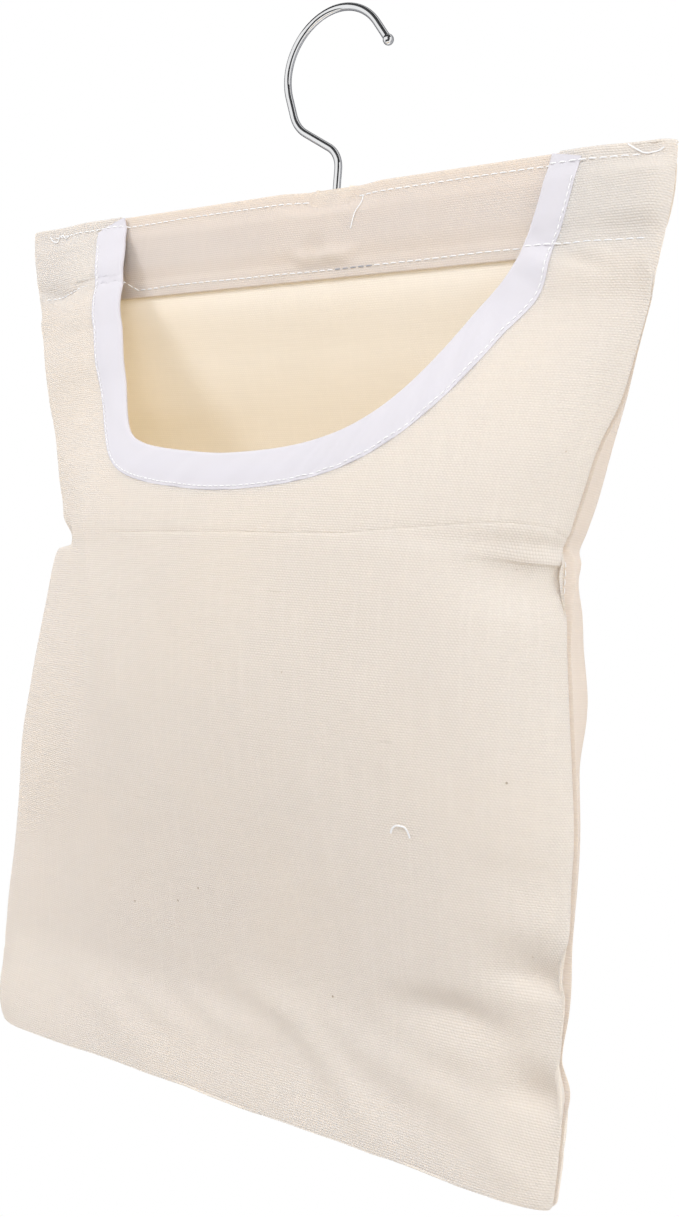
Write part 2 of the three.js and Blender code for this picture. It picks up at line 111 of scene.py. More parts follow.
# How full the sections are against the drop, with 2 for an ellipse: the front's left half and the back
LEFT_POWER = [
    (0, 2.1), (45, 1.7), (66, 1.9), (87, 1.58), (108, 1.55), (128, 1.57), (149, 1.6), (158, 1.55),
    (163, 1.52), (170, 1.5), (190, 1.51), (231, 1.55), (272, 1.57), (310, 1.45), (350, 1.7), (402, 2.6),
]
BACK_POWER = [
    (0, 2.7), (60, 1.62), (90, 1.95), (120, 4.4), (150, 3.6), (165, 2.3), (180, 3.3), (210, 4.2),
    (240, 2.5), (280, 2.5), (310, 1.95), (330, 2), (345, 1.4), (357, 3.8), (370, 2.4), (402, 1.2),
]
# The mouth's edge from its top right round to its top left, as x and drop
MOUTH_POINTS = [
    (124.4, 0), (122.2, 11), (120.7, 19), (117.5, 30), (114.4, 37), (113.4, 44), (109, 51.5), (101, 61),
    (94, 74.2), (85, 89.7), (74.1, 103), (58.6, 113.8), (43, 119), (21.2, 122.4), (0.3, 123.6),
    (-18.5, 122.3), (-42.4, 119.5), (-64, 113.2), (-74.8, 101.4), (-87, 78), (-95.4, 54.8),
    (-99.6, 42.4), (-103.4, 24.3), (-111.6, 4.2), (-113, 0),
]
# The fold line across the front, as x and drop
CREASE = [
    (-160, 160), (-135, 159), (-90, 157), (-41, 156.6), (26, 155.2), (69, 153.8), (83, 151.9),
    (102, 149.3), (116, 147.2), (131.6, 145.8), (138.4, 146.4), (142, 151), (160, 153),
]
# Soft folds of the front: the ridge's points as x and drop, then half width and height
FOLDS = [
    ([(-101, 367), (-73, 377), (-42, 390)], 9.0, 2.5),
    ([(-72, 362), (-47, 370), (-12, 380)], 7.0, 2.1),
    ([(-33, 358), (-7, 367), (18, 369)], 6.5, 2.1),
    ([(10, 348), (36, 356), (60, 374), (80, 391)], 7.5, 4.0),
    ([(38, 349), (73, 361), (112, 370.5), (145, 376)], 9.0, 3.4),
    ([(125, 381), (152, 392)], 6.0, 1.5),
    ([(87, 337.5), (113, 336), (138, 341)], 7.5, -5.0),
    ([(88, 353), (115, 353), (141, 361)], 7.0, 1.6),
    ([(129, 41), (139, 43), (151, 47.5)], 3.0, -1.6),
    ([(-172, 32), (-151, 37), (-140, 37.6), (-122, 32.6)], 3.0, -1.8),
]
# Pulls and hollows in the front: x, drop, half sizes sideways, up and down, height
DENTS = [
    (135, 164, 16, 8.5, 14, -8.0),
    (132, 148.0, 16, 6.0, 5, 0.8),
    (112, 158, 14, 6.0, 14, -0.9),
    (146, 316, 14, 10.0, 5, -6.5),
    (145, 297, 16, 8.0, 6, 1.2),
    (138, 277, 16, 6.0, 10, -1.0),
    (148, 360, 11, 8.0, 5, -5.5),
    (146, 344, 14, 8.0, 5, 1.0),
]
# The soft upright bend in the left of the front, as drop and x
BEND_LINE = [(120, -95), (140, -90), (165, -82), (198, -68), (240, -63), (262, -62)]


def smooth(value, start, end):
    share = np.clip((value - start) / (end - start), 0.0, 1.0)
    return share * share * (3.0 - 2.0 * share)


def fall(value, start, end):
    return 1.0 - smooth(value, start, end)


def hump(value, start, full, closing, end):
    return smooth(value, start, full) * fall(value, closing, end)


def bell(value, centre, width):
    return np.exp(-(((value - centre) / width) ** 2))


def quarter(distance, width):
    left = 1.0 - np.clip(distance / width, 0.0, 1.0)
    return np.sqrt(1.0 - left * left)


def spaced(start, *runs):
    values = [start]
    for end, step in runs:
        count = max(1, round((end - values[-1]) / step))
        values.extend(np.linspace(values[-1], end, count + 1)[1:])
    return np.array(values)


def curve_through(points):
    # A smooth curve that doesn't overshoot its points
    knots, values = np.array(points, float).T
    step = np.diff(knots)
    slope = np.diff(values) / step
    tangent = np.zeros(len(knots))
    tangent[0], tangent[-1] = slope[0], slope[-1]
    for i in range(1, len(knots) - 1):
        if slope[i - 1] * slope[i] > 0:
            before = 2 * step[i] + step[i - 1]
            after = step[i] + 2 * step[i - 1]
            tangent[i] = (before + after) / (before / slope[i - 1] + after / slope[i])

    def value_at(place):
        place = np.clip(place, knots[0], knots[-1])
        i = np.clip(np.searchsorted(knots, place) - 1, 0, len(step) - 1)
        t = (place - knots[i]) / step[i]
        rise = values[i] + (values[i + 1] - values[i]) * t * t * (3 - 2 * t)
        bend = tangent[i] * t * (1 - t) ** 2 - tangent[i + 1] * t * t * (1 - t)
        return rise + step[i] * bend

    return value_at


def unit(vectors):
    return vectors / np.linalg.norm(vectors, axis=-1, keepdims=True)


def run_along(points):
    # The distance from a line's start to each of its points
    steps = np.linalg.norm(np.diff(points, axis=0), axis=1)
    return np.concatenate(([0.0], np.cumsum(steps)))


def follow(places, run, points):
    # Points at distances along a line
    return np.stack([np.interp(places, run, values) for values in points.T], axis=-1)


def smooth_line(places, run, points):
    # The same on a smooth curve through the points
    return np.stack([curve_through(list(zip(run, values)))(places) for values in points.T], axis=-1)


NOISE_SIZE = 64
NOISE_TABLE = np.random.RandomState(11).uniform(-1.0, 1.0, (NOISE_SIZE, NOISE_SIZE))


def noise(u, v, seed):
    u = np.asarray(u, float) + 7.31 * seed
    v = np.asarray(v, float) + 3.77 * seed
    i, j = np.floor(u).astype(int), np.floor(v).astype(int)
    fade_u, fade_v = u - i, v - j
    fade_u = fade_u**3 * (fade_u * (6 * fade_u - 15) + 10)
    fade_v = fade_v**3 * (fade_v * (6 * fade_v - 15) + 10)
    i0, i1 = i % NOISE_SIZE, (i + 1) % NOISE_SIZE
    j0, j1 = j % NOISE_SIZE, (j + 1) % NOISE_SIZE
    low = NOISE_TABLE[i0, j0] * (1 - fade_u) + NOISE_TABLE[i1, j0] * fade_u
    high = NOISE_TABLE[i0, j1] * (1 - fade_u) + NOISE_TABLE[i1, j1] * fade_u
    return low * (1 - fade_v) + high * fade_v


def fold(x, drop, points, width, height):
    # A soft ridge along a line of points that fades at both ends
    points = np.array(points, float)
    lengths = np.hypot(*np.diff(points, axis=0).T)
    ends = np.cumsum(lengths)
    nearest = np.full(x.shape, np.inf)
    share = np.zeros(x.shape)
    for start, end, length, reached in zip(points[:-1], points[1:], lengths, ends):
        way = (end - start) / length
        t = np.clip((x - start[0]) * way[0] + (drop - start[1]) * way[1], 0, length)
        away = np.hypot(x - start[0] - t * way[0], drop - start[1] - t * way[1])
        share = np.where(away < nearest, (reached - length + t) / ends[-1], share)
        nearest = np.minimum(nearest, away)
    return height * np.sin(np.pi * (0.1 + 0.8 * share)) * np.exp(-((nearest / width) ** 2))


left_reach = curve_through(LEFT_REACH)
right_reach = curve_through(RIGHT_REACH)
crease_drop = curve_through(CREASE)
bend_x = curve_through(BEND_LINE)
left_power = curve_through(LEFT_POWER)
back_power = curve_through(BACK_POWER)

# Camera
CAMERA_EYE = (0.38623, -0.47994, -0.26674)
CAMERA_AZIMUTH, CAMERA_ELEVATION, CAMERA_ROLL = 36.84, -0.4, 4.65
CAMERA_SENSOR = 36.0
FOCAL_PIXELS, IMAGE_HEIGHT = 1400.0, 1217.0


def new_object(name, data):
    made = bpy.data.objects.new(name, data)
    bpy.context.scene.collection.objects.link(made)
    return made


def sides_from(azimuth, elevation):
    # Right, up and back for a viewer or a lamp, with azimuth 0 in front of the bag and 90 at its right
    turn, rise = math.radians(azimuth), math.radians(elevation)
    back = np.array([math.sin(turn) * math.cos(rise), -math.cos(turn) * math.cos(rise), math.sin(rise)])
    right = np.array([math.cos(turn), math.sin(turn), 0.0])
    return right, np.cross(back, right), back


def set_place(made, right, up, back, spot):
    place = np.eye(4)
    place[:3] = np.stack([right, up, back, spot], axis=1)
    made.matrix_world = Matrix(place.tolist())


def make_camera():
    level, rise, back = sides_from(CAMERA_AZIMUTH, CAMERA_ELEVATION)
    roll = math.radians(CAMERA_ROLL)
    right = math.cos(roll) * level + math.sin(roll) * rise
    up = -math.sin(roll) * level + math.cos(roll) * rise
    lens = bpy.data.cameras.new("camera")
    lens.sensor_width = CAMERA_SENSOR
    lens.lens = CAMERA_SENSOR * FOCAL_PIXELS / IMAGE_HEIGHT
    lens.clip_start = 0.01
    camera = new_object("camera", lens)
    set_place(camera, right, up, back, CAMERA_EYE)
    bpy.context.scene.camera = camera


make_camera()


class Nodes:
    # A node tree, with short calls for the nodes that it uses
    def __init__(self, tree):
        self.tree = tree

    def feed(self, socket, value):
        if isinstance(value, bpy.types.NodeSocket):
            self.tree.links.new(value, socket)
        else:
            socket.default_value = value

    def node(self, kind, inputs=(), **settings):
        made = self.tree.nodes.new("ShaderNode" + kind)
        for key, value in settings.items():
            setattr(made, key, value)
        for key, value in dict(inputs).items():
            self.feed(made.inputs[key], value)
        return made

    def math(self, operation, a, b=0.0):
        return self.node("Math", {0: a, 1: b}, operation=operation).outputs[0]

    def add(self, a, b):
        return self.math("ADD", a, b)

    def times(self, a, b):
        return self.math("MULTIPLY", a, b)

    def wave(self, angle, kind="SINE"):
        # A sine or cosine between 0 and 1
        return self.add(self.times(self.math(kind, angle), 0.5), 0.5)

    def ramp(self, value, low, high, to_low=0.0, to_high=1.0, kind="SMOOTHSTEP"):
        inputs = {0: value, 1: low, 2: high, 3: to_low, 4: to_high}
        return self.node("MapRange", inputs, interpolation_type=kind).outputs[0]

    def mix(self, share, first, second):
        inputs = {0: share, 6: first, 7: second}
        return self.node("Mix", inputs, data_type="RGBA").outputs[2]

    def vector(self, operation, a, b=(0.0, 0.0, 0.0), output=0):
        return self.node("VectorMath", {0: a, 1: b}, operation=operation).outputs[output]

    def parts(self, vector):
        return self.node("SeparateXYZ", {0: vector}).outputs

    def noise(self, vector, scale, detail=2.0):
        # Three scales stretch the noise
        if isinstance(scale, tuple):
            vector, scale = self.vector("MULTIPLY", vector, scale), 1.0
        inputs = {"Vector": vector, "Scale": scale, "Detail": detail}
        return self.node("TexNoise", inputs).outputs[0]

    def own_place(self):
        return self.node("TexCoord").outputs["Object"]

    def weave_place(self):
        return self.node("UVMap", uv_map="weave").outputs[0]

    def background_rays(self):
        # 1 for rays that show the background, seen straight, in metal or through glass
        path = self.node("LightPath").outputs
        shown = path["Is Camera Ray"]
        for other in ("Is Glossy Ray", "Is Transmission Ray"):
            shown = self.math("MAXIMUM", shown, path[other])
        return shown


class Shader(Nodes):
    # A material with one main surface
    def __init__(self, name):
        self.material = bpy.data.materials.new(name)
        self.material.use_nodes = True
        super().__init__(self.material.node_tree)
        self.surface = self.tree.nodes["Principled BSDF"]

    def bump(self, height, strength, distance):
        inputs = {"Height": height, "Strength": strength, "Distance": distance}
        self.feed(self.surface.inputs["Normal"], self.node("Bump", inputs).outputs[0])

    def finish(self, colour, roughness, **sockets):
        self.feed(self.surface.inputs["Base Color"], colour)
        self.feed(self.surface.inputs["Roughness"], roughness)
        for name, value in sockets.items():
            label = name.replace("_", " ").title().replace("Ior", "IOR")
            self.surface.inputs[label].default_value = value
        return self.material

    def blend(self, share, other):
        # Gives a share of the surface to another shader
        both = self.node("MixShader", {0: share, 1: self.surface.outputs[0], 2: other.outputs[0]})
        self.feed(self.tree.nodes["Material Output"].inputs[0], both.outputs[0])
        return self.material


def colour(red, green, blue):
    return (red, green, blue, 1.0)


def shade(base, factor):
    return tuple(c * factor for c in base[:3]) + (1.0,)


WHITE = colour(1.0, 1.0, 1.0)
UV_CM = 0.1
RIB_PITCH = 0.098
YARN_PITCH = 0.135
YARN_WANDER = 0.06
TAPE_THREADS = 150.0
# The share of the light behind the cloth that comes through it, and its colour
THROUGH_SHARE = 0.36
BACK_THROUGH_SHARE = 0.46
THROUGH_TINT = (0.96, 0.84, 0.61, 1.0)


def canvas(name, base, gap_shade, bump_strength, flecks_and_painted_shade=(), slubs=(), through=THROUGH_SHARE):
    # Plain weave in cm: ribs along u, yarns offset by half from one rib to the next
    s = Shader(name)
    place = s.weave_place()
    u, v = s.parts(place)[:2]
    shift = s.times(s.math("SUBTRACT", s.noise(place, (1.3, 2.6, 1.0)), 0.5), YARN_WANDER)
    jitter = s.times(s.math("SUBTRACT", s.noise(place, (5.0, 5.0, 1.0), 1.0), 0.5), YARN_WANDER)
    row = s.math("DIVIDE", s.add(v, shift), RIB_PITCH)
    offset = s.times(s.math("FLOOR", row), 0.5)
    dot = s.add(s.math("DIVIDE", s.add(u, jitter), YARN_PITCH), offset)
    rib = s.math("ABSOLUTE", s.math("SINE", s.times(row, math.pi)))
    yarn = s.wave(s.times(dot, 2 * math.pi), "COSINE")
    height = s.times(rib, s.add(s.times(yarn, 0.7), 0.3))
    streak = s.noise(place, (0.35, 6.5, 1.0), 3.0)
    warp = s.noise(place, (6.5, 0.3, 1.0))
    cloud = s.noise(place, (0.09, 0.09, 1.0))
    tone = s.mix(s.ramp(height, 0.0, 0.75), shade(base, gap_shade), shade(base, 1.015))
    tone = s.mix(s.ramp(streak, 0.35, 0.75, 0.0, 0.6), tone, shade(base, 0.94))
    tone = s.mix(s.ramp(warp, 0.45, 0.8, 0.0, 0.35), tone, shade(base, 1.03))
    warm = colour(base[0] * 0.985, base[1] * 0.965, base[2] * 0.93)
    tone = s.mix(s.ramp(cloud, 0.4, 0.7, 0.0, 0.5), tone, warm)
    # Specks of seed husk, in a few of the cells of a loose pattern
    cells = s.node("TexVoronoi", {"Vector": place, "Scale": 0.2}, voronoi_dimensions="2D").outputs
    chosen = s.math("GREATER_THAN", s.node("SeparateColor", {0: cells[1]}).outputs[0], 0.7)
    speck = s.times(s.ramp(cells[0], 0.004, 0.009, 0.45, 0.0), chosen)
    tone = s.mix(speck, tone, colour(0.28, 0.19, 0.11))
    # Round marks: dark flecks in the yarn, and painted shade where a hidden part lies behind the cloth
    for at_u, at_v, size, strength, tint in flecks_and_painted_shade:
        away = s.vector("DISTANCE", place, (at_u * UV_CM, at_v * UV_CM, 0.0), "Value")
        spot = s.ramp(away, size * UV_CM * 0.6, size * UV_CM * 1.3, strength, 0.0)
        tone = s.mix(spot, tone, tint)
    for at_u, at_v, length, width in slubs:
        centred = s.vector("ADD", place, (-at_u * UV_CM, -at_v * UV_CM, 0.0))
        stretched = s.vector("MULTIPLY", centred, (1.0 / (length * UV_CM), 1.0 / (width * UV_CM), 1.0))
        bulk = s.ramp(s.vector("LENGTH", stretched, output="Value"), 0.4, 1.0, 0.9, 0.0)
        tone = s.mix(s.times(bulk, 0.5), tone, shade(base, 0.9))
        height = s.add(height, bulk)
    s.bump(height, bump_strength, 0.0004)
    s.finish(tone, 0.88, sheen_weight=0.12, sheen_roughness=0.6, specular_ior_level=0.2)
    return s.blend(through, s.node("BsdfTranslucent", {"Color": THROUGH_TINT}))


def tape_cloth():
    s = Shader("tape_cotton")
    place = s.weave_place()
    u, v = s.parts(place)[:2]
    slants = [s.math("SINE", s.times(s.math(way, u, v), TAPE_THREADS)) for way in ("ADD", "SUBTRACT")]
    weave = s.add(s.times(s.times(*slants), 0.5), 0.5)
    cloud = s.noise(place, (0.5, 1.6, 1.0), 3.0)
    base = colour(0.71, 0.682, 0.72)
    tone = s.mix(s.ramp(weave, 0.0, 1.0, 0.25, 0.0), base, shade(base, 0.9))
    tone = s.mix(s.ramp(cloud, 0.35, 0.7, 0.0, 0.35), tone, colour(0.695, 0.672, 0.725))
    s.bump(weave, 0.12, 0.0002)
    return s.finish(tone, 0.75, sheen_weight=0.15, sheen_roughness=0.5, specular_ior_level=0.3)


def thread(name, base):
    s = Shader(name)
    u, v = s.parts(s.weave_place())[:2]
    twist = s.add(s.times(u, 2.0), s.times(v, 1.1))
    ply = s.wave(s.times(twist, 2 * math.pi))
    tone = s.mix(s.ramp(ply, 0.0, 0.6, 0.5, 0.0), base, shade(base, 0.86))
    s.bump(ply, 0.15, 0.0001)
    return s.finish(tone, 0.6, sheen_weight=0.1, specular_ior_level=0.35)


def chrome():
    s = Shader("chromed_wire")
    smear = s.noise(s.own_place(), 60.0)
    tone = s.mix(smear, colour(0.78, 0.785, 0.795), colour(0.86, 0.865, 0.87))
    edge_tint = colour(0.03, 0.03, 0.035)
    return s.finish(tone, s.ramp(smear, 0.3, 0.7, 0.04, 0.09), metallic=1.0, specular_tint=edge_tint)


def wood():
    s = Shader("bare_softwood")
    place = s.own_place()
    warped = s.noise(place, (6.0, 70.0, 70.0), 3.0)
    grain = s.wave(s.add(s.times(s.parts(place)[2], 420.0), s.times(warped, 5.0)))
    fibre = s.noise(place, (40.0, 1500.0, 1500.0))
    tone = s.mix(grain, colour(0.62, 0.42, 0.22), colour(0.73, 0.54, 0.33))
    tone = s.mix(s.ramp(fibre, 0.4, 0.8, 0.0, 0.4), tone, colour(0.5, 0.33, 0.17))
    s.bump(fibre, 0.2, 0.0002)
    return s.finish(tone, 0.7)


def to_frame(points):
    return (np.asarray(points, float) + (BAG_X, 0.0, BAG_TOP)) * MM


def add_object(name, points, faces, uv, materials, face_material=None, sharp=50.0):
    # uv has one pair for each corner of each face, in the order of the faces
    mesh = bpy.data.meshes.new(name)
    mesh.from_pydata(np.asarray(points).tolist(), [], [list(map(int, f)) for f in faces])
    layer = mesh.uv_layers.new(name="weave")
    layer.data.foreach_set("uv", np.asarray(uv, np.float32).ravel())
    for material in materials:
        mesh.materials.append(material)
    if face_material is not None:
        mesh.polygons.foreach_set("material_index", np.asarray(face_material, np.int32))
    mesh.polygons.foreach_set("use_smooth", np.ones(len(faces), bool))
    mesh.set_sharp_from_angle(angle=math.radians(sharp))
    mesh.validate()
    mesh.update()
    return new_object(name, mesh)


def tube(along, around, turn=1, base=0):
    # Faces of a tube of rings with a cap at each end, and the place of each of their corners round
    # and along the tube. The last place in around is the first one again, and a turn of -1 faces the
    # other way.
    sides, last = len(around) - 1, len(along) - 1
    corners = []
    for i in range(last):
        for k in range(sides):
            face = [(i, k), (i + 1, k), (i + 1, k + 1), (i, k + 1)]
            corners.append(face if turn > 0 else face[:1] + face[:0:-1])
    for ring, way in ((0, turn), (last, -turn)):
        corners.append([(ring, k) for k in range(sides)][::way])
    faces = [[base + ring * sides + k % sides for ring, k in face] for face in corners]
    return faces, [(around[k], along[ring]) for face in corners for ring, k in face]


def grid_normals(middle, outward_sign):
    across = np.gradient(middle, axis=1)
    down = np.gradient(middle, axis=0)
    normal = np.cross(across, down) * outward_sign
    length = np.linalg.norm(normal, axis=2, keepdims=True)
    return normal / np.maximum(length, 1e-9)


def solid_sheet(name, middle, normal, keep, along, run, outward_sign, materials):
    # A sheet of cloth with thickness: outside, inside and the rim between them
    rows, columns = middle.shape[:2]
    count = rows * columns
    index = np.arange(count).reshape(rows, columns)
    corners = [index[:-1, :-1], index[:-1, 1:], index[1:, 1:], index[1:, :-1]]
    if outward_sign < 0:
        corners.reverse()
    outside = np.stack([c[keep] for c in corners], axis=1)
    starts = outside.ravel()
    ends = np.roll(outside, -1, axis=1).ravel()
    lone = ~np.isin(starts * count + ends, ends * count + starts)
    first, last = starts[lone], ends[lone]
    rim = np.stack([last, first, first + count, last + count], axis=1)
    inside = outside[:, ::-1] + count
    faces = np.concatenate((outside, rim, inside))
    used, packed = np.unique(faces, return_inverse=True)
    packed = packed.reshape(faces.shape)
    points = np.concatenate((
        (middle + normal * CLOTH / 2).reshape(-1, 3),
        (middle - normal * CLOTH / 2).reshape(-1, 3),
    ))
    uv = np.stack([along, np.repeat(run[:, None], columns, axis=1)], axis=-1).reshape(-1, 2) * UV_CM
    corner_uv = uv[(faces % count).ravel()]
    side = np.concatenate((np.zeros(len(outside) + len(rim), int), np.ones(len(inside), int)))
    return add_object(name, to_frame(points[used]), packed, corner_uv, materials, side)


def between(values, value):
    # The step of a rising row of values that a value falls in, and its share of that step
    i = int(np.clip(np.searchsorted(values, value) - 1, 0, len(values) - 2))
    return i, (value - values[i]) / (values[i + 1] - values[i])


class Surface:
    # The middle of a cloth panel, found by x and by the distance down the cloth
    def __init__(self, down, x, middle, normal, along):
        self.down, self.x, self.middle, self.normal, self.along = down, x, middle, normal, along
        self.both = np.concatenate((middle, normal), axis=2)

    def at(self, x, down):
        row, share = between(self.down, down)
        found = np.zeros(6)
        for k, weight in ((row, 1 - share), (row + 1, share)):
            i, t = between(self.x[k], x)
            found += weight * (self.both[k, i] * (1 - t) + self.both[k, i + 1] * t)
        return found[:3], found[3:] / max(np.linalg.norm(found[3:]), 1e-9)

    def over(self, x, down, height=CLOTH / 2):
        # A point at a height over the middle, with the normal there
        point, normal = self.at(x, down)
        return point + normal * height, normal

    def weave_place(self, x, down):
        row = int(np.clip(np.searchsorted(self.down, down), 0, len(self.down) - 1))
        return float(np.interp(x, self.x[row], self.along[row])), down


SEAM_OFFSETS = np.array([0, 0.35, 0.7, 1.05, 1.4, 1.8, 2.3, 3.0, 4.0, 5.2, 6.6, 8.2, 10.0])
MIDDLE_COLUMNS = 150
SECTION_STEPS = 801


def swell_share(drop, ease):
    high = np.clip((drop - LOWER_STITCH) / (SWELL_DROP - LOWER_STITCH), 0, 1)
    rising = np.sin(np.pi / 2 * high) ** ease
    low = np.clip((drop - SWELL_DROP) / (BAG_HEIGHT - SWELL_DROP), 0, 1)
    falling = (1 + np.cos(np.pi * low ** 1.25)) / 2
    return np.where(drop < SWELL_DROP, rising, falling)


def sections(drops, swell, ease, left_fullness, right_fullness):
    # For each drop a half-round section from seam to seam, with its columns close together at the seams
    made = []
    turn = np.linspace(-1, 1, SECTION_STEPS) * np.pi / 2
    for drop in drops:
        bulge_size = float(swell * swell_share(drop, ease))
        n = np.where(turn < 0, left_fullness(drop), right_fullness(drop))
        reach = np.where(turn < 0, left_reach(drop), right_reach(drop))
        x = reach * np.sign(turn) * np.abs(np.sin(turn)) ** (2 / n)
        bulge = bulge_size * np.abs(np.cos(turn)) ** (2 / n)
        along = run_along(np.stack([x, bulge], axis=1))
        total = along[-1]
        edge = SEAM_OFFSETS[-1]
        inner = np.linspace(edge, total - edge, MIDDLE_COLUMNS)
        places = np.concatenate((SEAM_OFFSETS[:-1], inner, total - SEAM_OFFSETS[-2::-1]))
        made.append((
            np.interp(places, along, x),
            np.interp(places, along, bulge),
            places - np.interp(0.0, x, along),
            np.minimum(places, total - places),
            np.full(len(places), drop),
        ))
    return [np.array(part) for part in zip(*made)]


def open_casing(drop, more=0.0):
    # How open the casing is between its two rows of stitching
    full, closing = CASING_OPEN
    return hump(drop, UPPER_STITCH, full, closing + more, LOWER_STITCH)


def pocket(x, drop):
    # Half the room inside the casing: full over the bar, slack past its left end, open at the slot
    room = open_casing(drop, HEAD_ROOM * fall(np.abs(x - SHANK_X), *HEAD_REACH))
    fill = SLACK_FILL + (1 - SLACK_FILL) * smooth(x, *BAR_LEFT_END)
    depth = PINCH_DEPTH + (POCKET_DEPTH - PINCH_DEPTH) * room * fill
    at_slot = hump(x, SLOT_LEFT - SLOT_EASE, SLOT_LEFT, SLOT_RIGHT, SLOT_RIGHT + SLOT_EASE)
    slot = PINCH_DEPTH + (SLOT_DEPTH - PINCH_DEPTH) * at_slot * fall(drop, *SLOT_END)
    return np.maximum(depth, slot)


def casing_lean(x, drop):
    # Both rows of stitching lie in front of the casing's middle, so that its face is nearly flat
    lean = LEAN_SHARE * (POCKET_DEPTH - PINCH_DEPTH) * (1 - open_casing(drop)) * fall(drop, *LEAN_END)
    at_slot = fall(np.abs(x - SHANK_X), *SLOT_REACH) * fall(drop, *SLOT_LEAN_END)
    return lean * (1 - at_slot) * fall(np.abs(x), *LEAN_REACH)


def hem(drop):
    return HEM_LAYER * hump(drop, *HEM_DROPS)


def seam_groove(drop):
    return CASING_GROOVE + (SEAM_GROOVE - CASING_GROOVE) * smooth(drop, *GROOVE_DROPS)


def edge_width(x, drop):
    # How far from the seam the cloth turns in: round in the casing, in a tight fold below it
    casing = np.where(x < 0, LEFT_ROUND, RIGHT_ROUND)
    folded = 1.0 + 0.5 * bell(drop, 162, 10) + 0.4 * bell(drop, 372, 9)
    return casing + (folded - casing) * smooth(drop, *CASING_END)


def seam_set_back(x, drop, closing):
    # The right seam lies further round the side down to the lower shoulder, less so beside the bar's end
    at_edge = np.clip(x / right_reach(drop), 0, 1) ** 8
    at_end = END_SET_BACK * (1 - closing) * (x > 0)
    share = at_end + (at_edge - at_end) * smooth(drop, *SET_BACK_START)
    return SET_BACK * share * fall(drop, *SET_BACK_END)


def left_pinch(drop):
    # The left seam is drawn in just above the lower shoulder
    return LEFT_PINCH * hump(drop, *PINCH_DROPS)


def bottom_wave(x):
    return BOTTOM_WAVE * noise(x / WAVE_LENGTH, np.zeros_like(x), 3)


def shaped(x, drop, edge, stand, bulge, outward):
    # Points of a panel whose middle stands and bulges away from the seams, which turn in
    width = edge_width(x, drop)
    straight = np.clip(edge / width, 0, 1)
    closing = quarter(edge, width)
    closing += (straight - closing) * smooth(drop, *CASING_END)
    y_set_back = seam_set_back(x, drop, closing)
    closing = closing * quarter(BAG_HEIGHT - drop, BOTTOM_ROUND)
    y = outward * (SEAM_HALF + (stand - SEAM_HALF) * closing + bulge) + y_set_back
    turned = np.sign(x) * seam_groove(drop) * (1 - straight) * (edge < width)
    lifted = BOTTOM_LIFT * fall(BAG_HEIGHT - drop, 0, LIFT_HEIGHT)
    wave = bottom_wave(x) * smooth(drop, *WAVE_DROPS)
    drawn = left_pinch(drop) * fall(edge, 20, 46) * (x < 0)
    return np.stack([x - turned + drawn, y, -(drop - lifted + wave)], axis=-1)


def near_rows(drop, upper, lower):
    # Near one of the casing's two rows of stitching
    return bell(drop, UPPER_STITCH, upper) + bell(drop, LOWER_STITCH, lower)


def waves(x, drop, slow, short, seed):
    # Slow waves in the hanging cloth, with ripples over them
    ripples = RIPPLE_HEIGHT * noise(x / short[0], drop / short[1], seed + 1)
    return WAVE_HEIGHT * noise(x / slow[0], drop / slow[1], seed) + ripples


def front_relief(x, drop):
    crease = np.exp(-np.abs(drop - crease_drop(x)) / CREASE_WIDTH)
    total = -CREASE_DEPTH * crease * smooth(x, -75, -40)
    for x0, drop0, wide, above, below, height in DENTS:
        total += height * bell(x, x0, wide) * bell(drop, drop0, np.where(drop < drop0, above, below))
    for points, width, height in FOLDS:
        total += fold(x, drop, points, width, height)
    bend = np.exp(-np.abs(x - bend_x(drop)) / BEND_WIDTH) - 0.5 * bell(x, bend_x(drop) - 26, 16)
    total += BEND_HEIGHT * bend * hump(drop, 112, 150, 195, 262)
    total += smooth(drop, 60, 130) * waves(x, drop, (60, 75), (24, 30), 1)
    # The slack left shoulder stands away from the facing between its two rows of stitching
    total += SLACK_HEIGHT * hump(drop, 3, 36, 52, 100) * hump(x, -164, -122, -100, -65)
    # Puckers along the rows of stitching
    total += PUCKER_HEIGHT * near_rows(drop, 4.5, 5.5) * noise(x / 5.5, drop / 16, 4)
    gather = bell(x, -161, 9) * bell(drop, 6, 6) + bell(x, 164, 8) * bell(drop, 4, 7)
    return total + GATHER_HEIGHT * gather * noise(x / 3.2, drop / 7, 5)


def ellipse_power(drop):
    return 2.0


def panel_rows(fold_step, step):
    # Runs of rows down a panel, close together in the casing, at the fold and at the bottom
    return [
        (5, 0.7), (42, 0.9), (60, 1.5), (138, 2.2), (144, 0.8), (161, fold_step), (172, 0.8), (384, step),
        (400, 0.9), (BAG_HEIGHT, 0.33),
    ]


def build_front_surface():
    down = spaced(-1.2, (TOP_ROLL, 0.28), *panel_rows(0.36, 2.0))
    drops = np.maximum(down, TOP_ROLL)
    x, bulge, along, edge, drop = sections(drops, FRONT_SWELL, FRONT_EASE, left_power, ellipse_power)
    layer = FRONT_LAYER + (BODY_LAYER - FRONT_LAYER) * smooth(drop, *BODY_DROPS)
    layer += BOTTOM_FLARE * smooth(drop, *FLARE_DROPS) * quarter(edge, 25.0)
    stand = pocket(x, drop) + casing_lean(x, drop) + hem(drop) + CLOTH / 2 + layer
    middle = shaped(x, drop, edge, stand, bulge, -1)
    normal = grid_normals(middle, -1)
    middle += normal * (front_relief(x, drop) * quarter(edge, RELIEF_EDGE))[..., None]
    angle = (np.maximum(TOP_ROLL - down, 0) / TOP_ROLL)[:, None]
    middle[..., 1] += TOP_ROLL * (1 - np.cos(angle))
    middle[..., 2] += TOP_ROLL * np.sin(angle)
    return Surface(down, x, middle, grid_normals(middle, -1), along)


front = build_front_surface()


MOUTH_SAMPLES = 900
MOUTH_EASE = 30


